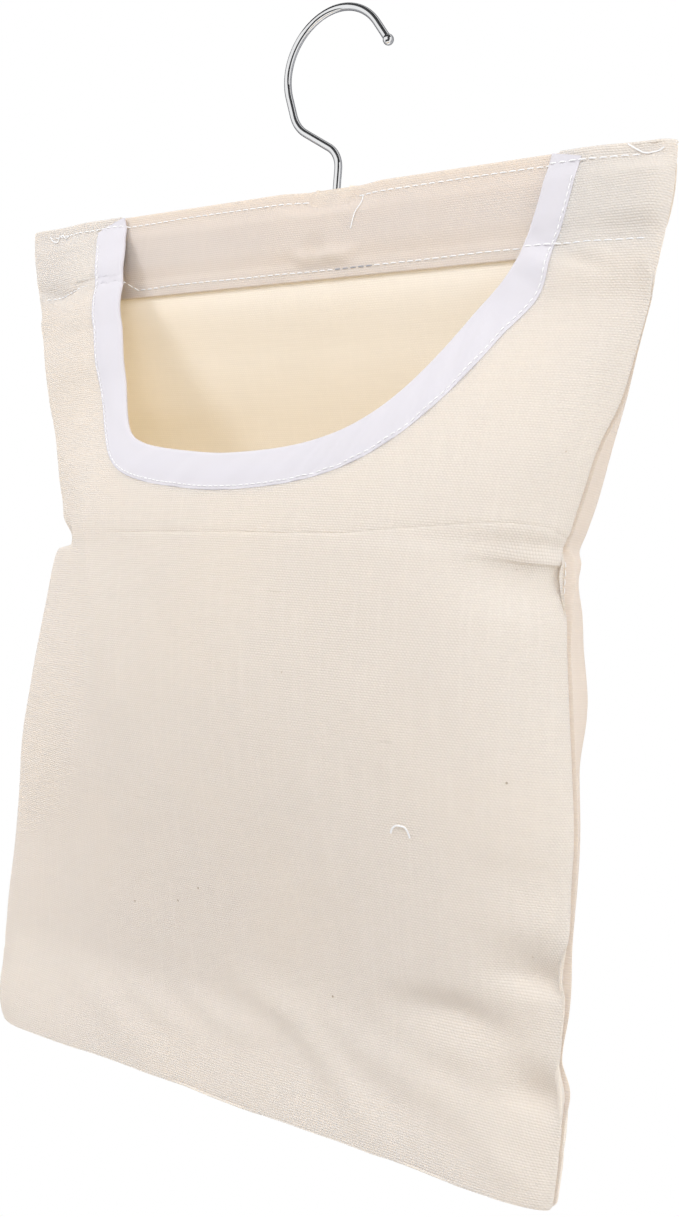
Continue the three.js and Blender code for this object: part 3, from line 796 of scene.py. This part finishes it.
def mouth_edge():
    # The mouth's edge from its top right to its top left, with the direction out of the mouth
    points = np.array(MOUTH_POINTS, float)
    run = run_along(points)
    edge = smooth_line(np.linspace(0, run[-1], MOUTH_SAMPLES), run, points)
    before = 2 * edge[0] - edge[MOUTH_EASE:0:-1]
    after = 2 * edge[-1] - edge[-2:-MOUTH_EASE - 2:-1]
    window = np.hanning(2 * MOUTH_EASE + 1)
    window /= window.sum()
    longer = np.concatenate((before, edge, after))
    edge = np.stack([np.convolve(values, window, "valid") for values in longer.T], axis=1)
    way = np.gradient(edge, axis=0)
    out = np.stack([way[:, 1], -way[:, 0]], axis=1)
    return edge, unit(out)


MOUTH_EDGE, MOUTH_OUT = mouth_edge()


def mouth_away(x, down):
    # How far places in one row lie from the mouth's edge, with those in the opening below zero
    x = np.atleast_1d(np.asarray(x, float))
    away = np.min(np.hypot(MOUTH_EDGE[:, 0] - x[:, None], MOUTH_EDGE[:, 1] - down), axis=1)
    lowest = np.interp(x, MOUTH_EDGE[::-1, 0], MOUTH_EDGE[::-1, 1], left=-9.0, right=-9.0)
    return np.where(down < lowest, -away, away)


def front_marks(points):
    return [front.weave_place(x, drop) for x, drop in points]


def corners_of(cells):
    # The points at the corners of the chosen cells of a grid
    points = np.zeros((cells.shape[0] + 1, cells.shape[1] + 1), bool)
    for rows in (slice(0, -1), slice(1, None)):
        for columns in (slice(0, -1), slice(1, None)):
            points[rows, columns] |= cells
    return points


def make_front(materials):
    middle, normal = front.middle.copy(), front.normal.copy()
    opening = np.array([mouth_away(x, d) for x, d in zip(front.x, front.down)]) <= 0.4
    keep = ~(opening[:-1, :-1] | opening[1:, :-1] | opening[:-1, 1:] | opening[1:, 1:])
    # The cut edge goes onto the mouth's own curve, under the tape
    for row, column in np.argwhere(corners_of(keep) & corners_of(~keep)):
        spot = np.array([front.x[row, column], front.down[row]])
        nearest = np.argmin(np.hypot(*(MOUTH_EDGE - spot).T))
        place = MOUTH_EDGE[nearest] + 0.6 * MOUTH_OUT[nearest]
        if spot[1] > 2 and np.hypot(*(place - spot)) < 4:
            middle[row, column], normal[row, column] = front.at(*place)
    return solid_sheet("front_cloth", middle, normal, keep, front.along, front.down, -1, materials)


def back_relief(x, drop):
    total = -0.35 * np.exp(-np.abs(drop - crease_drop(-x)) / 0.8)
    total += smooth(drop, 50, 120) * waves(x, drop, (55, 80), (22, 28), 6)
    for points in ([(70, 352), (20, 394)], [(-40, 350), (-90, 392)], [(-110, 345), (-146, 376)]):
        total += fold(x, drop, points, 6.0, 1.8)
    return total + 0.22 * near_rows(drop, 4.5, 5.5) * noise(x / 5.5, drop / 16, 8)


def facing_relief(x, drop):
    total = 0.2 * near_rows(drop, 4.0, 4.0) * noise(x / 6, drop / 16, 9)
    total += 0.35 * noise(x / 32, drop / 20, 10) * bell(drop, 20, 12)
    # The cloth stands up beside the hook's slot
    upright = 0.9 * bell(x, 18, 3.5) + 0.6 * bell(x, -9, 8)
    return total + upright * hump(drop, 4, 10, 26, 36)


def build_back_surface():
    # One cloth from the hem up the facing, over the crest and down the back
    hem_rows = [("hem", d, 0.0) for d in spaced(HEM_TOP, (FACING_DROP, 1.0))[:-1]]
    turn_rows = [("turn", FACING_DROP, a) for a in np.linspace(0, math.pi, 7)]
    facing_rows = [("facing", d, 0.0) for d in spaced(-FACING_DROP, (-CREST_DROP, 0.9))[1:-1] * -1]
    crest_rows = [("crest", CREST_DROP, a) for a in np.linspace(-math.pi / 2, math.pi / 2, 9)]
    back_rows = [("back", d, 0.0) for d in spaced(CREST_DROP, *panel_rows(0.45, 2.2))[1:]]
    rows = hem_rows + turn_rows + facing_rows + crest_rows + back_rows
    kinds, drops, angles = (np.array(part) for part in zip(*rows))
    angles = angles[:, None]
    x, bulge, along, edge, drop = sections(drops, BACK_SWELL, BACK_EASE, back_power, back_power)
    slack = BODY_LAYER * smooth(drop, *BODY_DROPS)
    room = pocket(x, drop) + CLOTH / 2
    lean = casing_lean(x, drop)
    rear = shaped(x, drop, edge, room + slack - lean, bulge, 1)
    narrow = x * FACING_SCALE
    closing = quarter(edge, 5.0)
    fore_y = SEAM_HALF + (room + lean + hem(drop) - SEAM_HALF) * closing
    fore = np.stack([narrow, -fore_y, -drop], axis=-1)
    under = np.stack([narrow, HEM_LAYER - fore_y, -drop], axis=-1)
    turn_half = HEM_LAYER / 2
    turn_middle = fore_y - turn_half
    turn = np.stack([
        narrow, -(turn_middle - turn_half * np.cos(angles)), -(drop + turn_half * np.sin(angles)),
    ], axis=-1)
    crest_half = SEAM_HALF + (room - SEAM_HALF) * closing
    crest_share = (np.sin(angles) + 1) / 2
    crest = np.stack([
        narrow * (1 - crest_share) + rear[..., 0] * crest_share,
        crest_half * np.sin(angles) - lean * closing,
        -(drop - np.minimum(crest_half, CREST_HEIGHT) * np.cos(angles)),
    ], axis=-1)
    middle = np.where((kinds == "back")[:, None, None], rear, fore)
    for kind, shape in (("hem", under), ("turn", turn), ("crest", crest)):
        middle = np.where((kinds == kind)[:, None, None], shape, middle)
    normal = grid_normals(middle, 1)
    relief = np.where((kinds == "back")[:, None], back_relief(x, drop), 0.0)
    relief = np.where((kinds == "facing")[:, None], facing_relief(x, drop), relief)
    middle += normal * (relief * quarter(edge, RELIEF_EDGE))[..., None]
    run = run_along(middle[:, 40])
    run -= run[len(hem_rows + turn_rows + facing_rows) + len(crest_rows) // 2]
    return kinds, run, Surface(drops, x, middle, grid_normals(middle, 1), along)


back_kinds, back_run, back = build_back_surface()


def make_back(materials):
    on_crest = (back_kinds[:-1] == "crest") & (back_kinds[1:] == "crest")
    centre = (back.x[:-1, :-1] + back.x[1:, 1:]) / 2
    keep = ~(on_crest[:, None] & (centre > SLOT_LEFT - 0.3) & (centre < SLOT_RIGHT + 0.3))
    return solid_sheet("back_cloth", back.middle, back.normal, keep, back.along, back_run, 1, materials)


def part_of_back(kind):
    chosen = np.flatnonzero(back_kinds == kind)
    chosen = chosen[np.argsort(back.down[chosen])]
    return Surface(*(part[chosen] for part in (back.down, back.x, back.middle, back.normal, back.along)))


facing = part_of_back("facing")
rear = part_of_back("back")

# The tape's section: distance out from the mouth's edge and height over the middle of the cloth
TAPE_SECTION = [
    (17.0, 0.46), (17.05, 0.58), (16.9, 0.7), (16.3, 0.8), (15.2, 0.86), (14.0, 1.0), (12.0, 1.2),
    (10.0, 1.32), (8.0, 1.34), (6.0, 1.32), (4.0, 1.26), (2.0, 1.2), (0.6, 1.14), (-0.2, 1.0),
    (-0.75, 0.7), (-1.05, 0.3), (-1.1, 0.0), (-1.05, -0.3), (-0.75, -0.7), (-0.2, -0.98), (0.6, -1.08),
    (4.0, -1.1), (8.0, -1.1), (12.0, -1.1), (15.6, -1.04), (16.7, -0.92), (17.0, -0.72), (17.0, -0.5),
    (14.0, -0.47), (8.0, -0.47), (3.0, -0.47), (0.4, -0.46), (-0.2, -0.3), (-0.4, 0.0), (-0.2, 0.3),
    (0.4, 0.46), (3.0, 0.47), (8.0, 0.47), (14.0, 0.47),
]
TAPE_TOP = 0.9


def mouth_path(step):
    # Places along the mouth from its top right to its top left, each with its outward direction
    run = run_along(MOUTH_EDGE)
    places = np.linspace(TAPE_TOP, run[-1] - TAPE_TOP, int(run[-1] / step))
    return follow(places, run, np.concatenate((MOUTH_EDGE, MOUTH_OUT), axis=1))


def tape_width(x, down):
    # Narrower round the bottom of the mouth, and turned in where it crosses the casing at the right
    low = (TAPE_LOW_WIDTH - TAPE_WIDTH) * smooth(down, 60, 112)
    return TAPE_WIDTH + low - TAPE_TURNED_IN * (x > 0) * fall(down, 33, 52)


def tape_ripple(x, down, away):
    # Soft slanted ripples where the bias tape is eased round the bottom of the mouth
    slant = x + 0.9 * away
    turn = smooth(down, 45, 80)
    ripple = 0.4 * noise(slant / 8.5, away / 30, 12) * turn + 0.16 * noise(slant / 20, down / 20, 13)
    ripple += 0.6 * smooth(x, 15, 55) * turn * np.sin(0.62 * slant + 1.6 * noise(slant / 20, 0.0, 14))
    # Folds across the tape where the lower row of stitching holds it to the casing
    if x < 0:
        held = 0.6 * bell(down, 39.5, 3.0) - 0.5 * bell(down, 34.5 - 0.25 * away, 2.2)
    else:
        held = 0.8 * bell(down, 41.0, 3.5) - 0.6 * bell(down, 47.0, 2.2) - 0.5 * bell(down, 33.0, 2.2)
    return (ripple + held) * np.sin(np.pi * np.clip(away / TAPE_WIDTH, 0, 1)) ** 0.5


def tape_point(x, down, out_x, out_down, away, height):
    if away > 0:
        away = away * float(tape_width(x, down)) / TAPE_WIDTH
    if height > 0.6:
        height = height + float(tape_ripple(x, down, away))
    return front.over(x + out_x * away, down + out_down * away, height)


def make_tape(material):
    points = np.array([
        [tape_point(*place, *spot)[0] for spot in TAPE_SECTION] for place in mouth_path(1.4)
    ])
    around = [away for away, _ in TAPE_SECTION + TAPE_SECTION[:1]]
    faces, uv = tube(run_along(points[:, 8]), around, turn=-1)
    uv = np.array(uv)[:, ::-1] * UV_CM
    return add_object("mouth_tape", to_frame(points.reshape(-1, 3)), faces, uv, [material], sharp=60.0)


THREAD_HALF = 0.32
THREAD_SIDES = 7
THREAD_FLAT = 0.85
STITCH_PITCH = 4.2
STITCH_LENGTH = 3.2
STITCH_SHARES = np.array([0.0, 0.1, 0.3, 0.5, 0.7, 0.9, 1.0])
STITCH_SWAY = 0.12


class Threads:
    # Collects the stitches of one row into one mesh
    def __init__(self, name):
        self.name = name
        self.points, self.faces, self.uv, self.kind = [], [], [], []

    def strand(self, centres, normals, radii, kind=0):
        ways = unit(np.gradient(centres, axis=0))
        across = unit(np.cross(ways, normals))
        rise = THREAD_FLAT * np.cross(across, ways)
        angles = 2 * np.pi * np.arange(THREAD_SIDES)[:, None] / THREAD_SIDES
        rings = across[:, None] * np.cos(angles) + rise[:, None] * np.sin(angles)
        around = np.arange(THREAD_SIDES + 1) / THREAD_SIDES
        faces, uv = tube(run_along(centres), around, base=len(self.points))
        self.points += list((centres[:, None] + radii[:, None, None] * rings).reshape(-1, 3))
        self.faces += faces
        self.uv += uv
        self.kind += [kind] * len(faces)

    def dashes(self, route, pitch=STITCH_PITCH, length=STITCH_LENGTH, radius=THREAD_HALF, grey=()):
        # route is a list of points on the cloth with their normals
        points, normals = (np.array(part) for part in zip(*route))
        run = run_along(points)
        count = int((run[-1] - length) / pitch) + 1
        spare = run[-1] - (count - 1) * pitch - length
        crown = np.sin(np.pi * STITCH_SHARES) ** 0.5
        for i in range(count):
            sway = STITCH_SWAY * float(noise(i * 0.71, 0.0, 21))
            where = spare / 2 + i * pitch + sway + STITCH_SHARES * length
            ups = follow(where, run, normals)
            centres = follow(where, run, points) + ups * (radius * (1.5 * crown - 0.6))[:, None]
            kind = int(any(low <= centres[3, 0] <= high for low, high in grey))
            self.strand(centres, ups, radius * (0.45 + 0.55 * crown), kind)

    def make(self, materials):
        return add_object(self.name, to_frame(self.points), self.faces, self.uv, materials, self.kind)


def on_front_side(x, drop):
    # The outermost cloth in front at a place: the facing, the tape or the front panel
    away = float(mouth_away(x, drop)[0])
    if away < -1.3:
        return facing.over(x / FACING_SCALE, drop)
    if away > TAPE_WIDTH + 0.2:
        return front.over(x, drop)
    return front.over(x, drop, float(np.interp(away, *zip(*TAPE_SECTION[16:0:-1]))))


def casing_route(drop, start, end, place, wobble):
    xs = np.linspace(start, end, max(2, int(abs(end - start) / 0.8)))
    return [place(x, drop + wobble * float(noise(x / 40, 0.0, 31))) for x in xs]


def binding_route(outside):
    route = []
    for x, down, out_x, out_down in mouth_path(1.2):
        if down < 7.0:
            continue
        away = TAPE_WIDTH - TAPE_STITCH_INSET
        height = 0.9 if outside else -1.06
        point, normal = tape_point(x, down, out_x, out_down, away, height)
        route.append((point, normal if outside else -normal))
    return route


def seam_route(side):
    route = []
    reach_at = left_reach if side < 0 else right_reach
    for drop in np.arange(7.0, BAG_HEIGHT - 3.0, 1.0):
        reach = float(reach_at(drop) - left_pinch(drop) * (side < 0))
        x = side * (reach - float(seam_groove(drop)) + 0.6 - 1.4 * float(fall(drop, 45, 75)))
        y = float(seam_set_back(np.array(side * reach), np.array(drop), 0.0))
        route.append((np.array([x, y, -drop]), np.array([float(side), 0.0, 0.0])))
    return route


def bottom_route():
    down = np.array([0.0, 0.0, -1.0])
    return [
        (np.array([x, 0.0, -(BAG_HEIGHT - 1.2 + float(bottom_wave(x)))]), down)
        for x in np.arange(-150.0, 150.0, 1.0)
    ]


STITCH_GAP = (2.0, 26.0)
UPPER_ENDS, UPPER_WOBBLE = (-166.0, 161.0), 0.5
LOWER_ENDS, LOWER_WOBBLE = (-168.0, 166.0), 0.6
GREY_STITCHES = [(19.0, 39.0)]
TAPE_STITCH = {"pitch": 3.1, "length": 2.3, "radius": 0.26}
SEAM_STITCH = {"pitch": 3.4, "length": 2.6, "radius": 0.28}
# Threads that lie on the cloth, as x and drop: the two end tacks, a loose tail and a loose yarn
LEFT_TACK = [(-168, 3.6), (-165, 6.4), (-162, 7.2), (-160, 4.4), (-157, 4.1), (-154.5, 6.0), (-152, 4.6)]
RIGHT_TACK = [(154.3, 0.6), (157.9, 2.8), (163.3, 5.4), (166.7, 4.5), (169, 3.1)]
LOOSE_TAIL = [(30.5, 5.0), (30.9, 9.3), (28.9, 13.6), (27.9, 17.2), (27.4, 19.4)]
LOOSE_YARN = [(91.1, 267.7), (92.0, 265.6), (94.2, 264.2), (96.7, 264.3), (98.2, 266.0), (99.0, 268.5)]


def lay(threads, places, radius):
    # One thread along places on the front
    places = np.array(places, float)
    run = run_along(places)
    samples = np.linspace(0, run[-1], max(8, int(run[-1] / 0.6)))
    spots = [on_front_side(*map(float, place)) for place in smooth_line(samples, run, places)]
    points, normals = (np.array(part) for part in zip(*spots))
    lift = radius * (0.7 + 0.9 * np.sin(np.pi * samples / run[-1]) ** 2)
    threads.strand(points + normals * lift[:, None], normals, np.full(len(samples), radius))


def make_stitches(materials):
    rows = []
    upper_runs = (("left", UPPER_ENDS[0], STITCH_GAP[0]), ("right", STITCH_GAP[1], UPPER_ENDS[1]))
    for name, node, place, grey in (
        ("stitches", "topstitch", on_front_side, GREY_STITCHES),
        ("back_stitches", "bobbin", rear.over, ()),
    ):
        for side, *ends in upper_runs:
            route = casing_route(UPPER_STITCH, *ends, place, UPPER_WOBBLE)
            rows.append((f"upper_{name}_{side}", f"upper_{node}_{side}", route, {}))
        route = casing_route(LOWER_STITCH, *LOWER_ENDS, place, LOWER_WOBBLE)
        rows.append((f"lower_{name}", f"lower_{node}", route, {"grey": grey}))
    rows += [
        ("tape_stitches", "binding_topstitch", binding_route(True), TAPE_STITCH),
        ("tape_back_stitches", "binding_bobbin", binding_route(False), TAPE_STITCH),
        ("left_seam_stitches", "side_seam_left", seam_route(-1), SEAM_STITCH),
        ("right_seam_stitches", "side_seam_right", seam_route(1), SEAM_STITCH),
        ("bottom_seam_stitches", "bottom_seam", bottom_route(), SEAM_STITCH),
        ("left_tack_stitches", "bar_tack_left", [], {}),
        ("right_tack_stitches", "bar_tack_right", [], {}),
    ]
    laid = {
        "left_tack_stitches": [(LEFT_TACK, 0.3)],
        "right_tack_stitches": [(RIGHT_TACK, 0.3)],
        "upper_stitches_right": [(LOOSE_TAIL, 0.27), (LOOSE_YARN, 0.4)],
    }
    for name, node, route, settings in rows:
        threads = Threads(name)
        if route:
            threads.dashes(route, **settings)
        for places, radius in laid.get(name, ()):
            lay(threads, places, radius)
        piece = threads.make(materials)
        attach(piece, "bag")
        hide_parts(node)


HOOK_RADIUS = 26.6
HOOK_CENTRE_Z = -24.9
HOOK_STRAIGHT = math.radians(38)
HOOK_END = 11.5
WIRE_HALF = 1.7
BALL_HALF = 2.4
SHANK_FRAME_X = 6.5
SHANK_LOW = BAG_TOP - 30.15
BEND_Z = BAG_TOP + 16.0
BEND_RADIUS = 12.0
HOOK_KNEE = (-19.2, -49.0)
KNEE_RADIUS = 18.0
# The upset head under the bar, as height over the end of the wire and half width
HEAD_PROFILE = [
    (-0.75, 2.2), (-0.7, 2.8), (-0.45, 3.1), (0.45, 3.1), (0.7, 2.85), (0.75, 2.0), (0.8, WIRE_HALF),
]
WIRE_SIDES = 32


def rounded_corner(before, corner, after, radius):
    # An arc that takes the place of a corner between two straight runs
    first, second = unit(before - corner), unit(after - corner)
    half = math.acos(np.clip(first @ second, -1, 1)) / 2
    centre = corner + unit(first + second) * radius / math.sin(half)
    start = corner + first * radius / math.tan(half) - centre
    end = corner + second * radius / math.tan(half) - centre
    turn = math.acos(np.clip(start @ end / radius**2, -1, 1))
    shares = np.linspace(0, 1, 14)[:, None]
    return centre + (start * np.sin((1 - shares) * turn) + end * np.sin(shares * turn)) / math.sin(turn)


def hook_line():
    # The hook's centre line in its own plane: up from the head, past the knee and round to the tip
    centre, knee = np.array([0.0, HOOK_CENTRE_Z]), np.array(HOOK_KNEE)
    low, corner = np.array([SHANK_FRAME_X, SHANK_LOW]), np.array([SHANK_FRAME_X, BEND_Z])
    gap = np.linalg.norm(knee - centre)
    start = math.atan2(*(knee - centre)[::-1]) % (2 * math.pi) - math.acos(HOOK_RADIUS / gap)
    turns = np.linspace(start, HOOK_STRAIGHT, 80)
    arc = centre + HOOK_RADIUS * np.stack([np.cos(turns), np.sin(turns)], axis=1)
    onward = np.array([math.sin(HOOK_STRAIGHT), -math.cos(HOOK_STRAIGHT)])
    return np.concatenate((
        [low],
        rounded_corner(low, corner, knee, BEND_RADIUS),
        rounded_corner(corner, knee, arc[0], KNEE_RADIUS),
        arc,
        [arc[-1] + onward * HOOK_END],
    ))


def make_hook(material):
    line = hook_line()
    run = run_along(line)
    total = run[-1]
    ball_start = total - math.sqrt(BALL_HALF**2 - WIRE_HALF**2)
    ball = np.linspace(-0.72, math.pi / 2 - 0.12, 14)
    wire = spaced(1.2, (ball_start, 0.8))
    head_places, head_radii = np.array(HEAD_PROFILE).T
    places = np.concatenate((head_places, wire, total + BALL_HALF * np.sin(ball)))
    radii = np.concatenate((head_radii, np.full(len(wire), WIRE_HALF), BALL_HALF * np.cos(ball)))[:, None]
    inside = np.clip(places, 0, total)
    ahead = follow(np.minimum(inside + 0.3, total), run, line)
    ways = unit(ahead - follow(np.maximum(inside - 0.3, 0), run, line))
    spots = follow(inside, run, line) + ways * (places - inside)[:, None]
    angles = 2 * np.pi * np.arange(WIRE_SIDES) / WIRE_SIDES
    reach = radii * np.cos(angles)
    points = np.stack([
        spots[:, :1] + ways[:, 1:] * reach,
        radii * np.sin(angles),
        spots[:, 1:] - ways[:, :1] * reach,
    ], axis=-1)
    faces, uv = tube(places, np.arange(WIRE_SIDES + 1) / WIRE_SIDES)
    return add_object("wire_hook", points.reshape(-1, 3) * MM, faces, uv, [material], sharp=40.0)


# Materials
CANVAS_COLOUR = colour(0.96, 0.945, 0.955)
# The back cloth and facing get a darker, bluer copy of the canvas colour: painted shade, which keeps the
# facing darker than the front and less warm in the light through the cloth
BACK_SHADED_COLOUR = colour(0.9, 0.88, 0.92)
INSIDE_COLOUR = colour(0.965, 0.945, 0.94)
FLECK_PLACES = [(-55.4, 322.5), (-26, 316.5), (-11.5, 308), (55.7, 342), (134.5, 243)]
SLUB_PLACES = [(-40, 272), (90, 232), (41, 178)]
fleck_marks = [(u, v, 0.5, 0.75, colour(0.2, 0.15, 0.1)) for u, v in front_marks(FLECK_PLACES)]
slub_marks = [(u, v, 5.0, 0.7) for u, v in front_marks(SLUB_PLACES)]
front_canvas = canvas("front_canvas", CANVAS_COLOUR, 0.83, 0.75, fleck_marks, slub_marks)
# A painted shadow of the hook's head: the facing is darker where the head lies behind it
painted_head_shadow = [(8.0, -26.0, 6.5, 0.12, colour(0.5, 0.45, 0.42))]
shaded_plain_canvas = canvas("shaded_plain_canvas", BACK_SHADED_COLOUR, 0.9, 0.5, painted_head_shadow, through=BACK_THROUGH_SHARE)
inside_canvas = canvas("inside_canvas", INSIDE_COLOUR, 0.94, 0.3)
white_thread = thread("white_thread", colour(0.95, 0.94, 0.94))
grey_thread = thread("grey_thread", colour(0.42, 0.43, 0.47))
wire_chrome = chrome()
bar_wood = wood()

# Pieces
front_cloth = make_front([front_canvas, inside_canvas])
back_cloth = make_back([shaded_plain_canvas, inside_canvas])
mouth_tape = make_tape(tape_cloth())
for piece, nodes, slot in (
    (front_cloth, ["front_panel"], "canvas"),
    (back_cloth, ["back_panel", "casing_facing"], "canvas"),
    (mouth_tape, ["mouth_binding"], "tape"),
):
    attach(piece, "bag")
    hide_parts(*nodes)
make_stitches([white_thread, grey_thread])
hook = make_hook(wire_chrome)
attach(hook, "hook")
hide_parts("hook")
for node, material in (("hanger_bar", bar_wood), ("hook_washer", wire_chrome)):
    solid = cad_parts[node]
    solid.data.materials.clear()
    solid.data.materials.append(material)

# Light
FLOOR_Z = -1.0
FLOOR_RADIUS = 0.8
FLOOR_SIDES = 96
LIGHT_TARGET = (0.0, 0.0, -0.28)
LIGHT_FROM_BELOW, LIGHT_FROM_ABOVE, LIGHT_FROM_BEHIND = 0.51, 0.74, 0.32


def area_light(name, azimuth, elevation, distance, size, power, tint):
    lamp = bpy.data.lights.new(name, "AREA")
    lamp.shape = "DISK"
    lamp.size = size
    lamp.energy = power
    lamp.color = tint
    right, up, back = sides_from(azimuth, elevation)
    made = new_object(name, lamp)
    made.visible_glossy = False
    set_place(made, right, up, back, np.array(LIGHT_TARGET) + distance * back)


def make_world():
    world = bpy.data.worlds.new("studio")
    bpy.context.scene.world = world
    world.use_nodes = True
    world.node_tree.nodes.clear()
    s = Nodes(world.node_tree)
    way = s.parts(s.node("TexCoord").outputs["Generated"])
    level = s.ramp(way[2], -0.7, 0.7, LIGHT_FROM_BELOW, LIGHT_FROM_ABOVE, "LINEAR")
    behind = s.ramp(way[1], -0.1, 0.7, 0.0, LIGHT_FROM_BEHIND, "LINEAR")
    lit = s.node("Background", {0: WHITE, 1: s.add(level, behind)}).outputs[0]
    white = s.node("Background", {0: WHITE, 1: 1.0}).outputs[0]
    chosen = s.node("MixShader", {0: s.background_rays(), 1: lit, 2: white})
    s.node("OutputWorld", {0: chosen.outputs[0]})


def flat_piece(name, points, faces, material):
    mesh = bpy.data.meshes.new(name)
    mesh.from_pydata(points, [], faces)
    mesh.materials.append(material)
    return new_object(name, mesh)


def make_floor():
    s = Shader("pale_floor")
    place = s.own_place()
    away = s.vector("LENGTH", place, output="Value")
    tone = s.mix(s.noise(place, 40.0, 3.0), colour(0.8, 0.8, 0.8), colour(0.84, 0.84, 0.84))
    s.finish(tone, 0.9, specular_ior_level=0.1)
    fade = s.times(s.ramp(away, 0.4, 0.75), s.background_rays())
    s.blend(fade, s.node("Emission", {0: WHITE, 1: 1.0}))
    turns = 2 * np.pi * np.arange(FLOOR_SIDES) / FLOOR_SIDES
    rim = [(FLOOR_RADIUS * math.sin(a), FLOOR_RADIUS * math.cos(a), 0.0) for a in turns]
    floor = flat_piece("floor", rim, [range(FLOOR_SIDES - 1, -1, -1)], s.material)
    floor.location = (0, 0, FLOOR_Z)


RING_DISTANCE = 1.2
RING_INNER, RING_OUTER = 0.45, 2.6
RING_START, RING_END = math.radians(-140), math.radians(62)
CEILING = [(-1.3, -1.2, 0.9), (1.3, -1.2, 0.9), (1.3, 0.1, 0.9), (-1.3, 0.1, 0.9)]
WALLS = [(x, y, z) for z in (-2.0, 2.0) for x, y in ((-1.6, -0.5), (-1.6, 0.8), (3.0, 0.8))]


def make_dark_card(name, points, faces, tone=0.04):
    # A dark card that only the polished wire mirrors
    s = Shader(name)
    smear = s.noise(s.own_place(), 8.0)
    s.finish(s.mix(smear, colour(tone, tone, tone), colour(tone, tone, 1.1 * tone)), 0.9)
    card = flat_piece(name, points, faces, s.material)
    for rays in ("camera", "diffuse", "transmission", "volume_scatter", "shadow"):
        setattr(card, "visible_" + rays, False)


def make_dark_cards():
    # Part of a ring in front of the hook, which is mirrored along the middle of the wire, a ceiling,
    # and grey walls behind and at the left, which outline the wire
    turns = np.linspace(RING_START, RING_END, 60)
    ring = [
        (reach * math.cos(a), -RING_DISTANCE, reach * math.sin(a))
        for reach in (RING_INNER, RING_OUTER) for a in turns
    ]
    count = len(turns)
    make_dark_card("dark_ring", ring, [(i, i + 1, count + i + 1, count + i) for i in range(count - 1)])
    make_dark_card("dark_ceiling", CEILING, [(0, 1, 2, 3)])
    make_dark_card("grey_walls", WALLS, [(0, 1, 4, 3), (1, 2, 5, 4)], 0.45)


make_world()
make_floor()
make_dark_cards()
area_light("key", -42.0, 32.0, 1.5, 0.45, 6.7, (0.99, 0.99, 1.0))
area_light("right_fill", 80.0, 12.0, 1.4, 0.9, 5.4, (0.97, 0.99, 1.0))
area_light("left_fill", -78.0, 5.0, 1.4, 0.6, 2.8, (0.88, 0.94, 1.0))
area_light("left_back", -145.0, 10.0, 1.4, 0.6, 8.2, (1.0, 0.98, 0.95))
area_light("front_fill", 30.0, 34.0, 1.5, 1.0, 7.0, (0.99, 1.0, 1.0))
bpy.context.scene.view_settings.view_transform = "Standard"
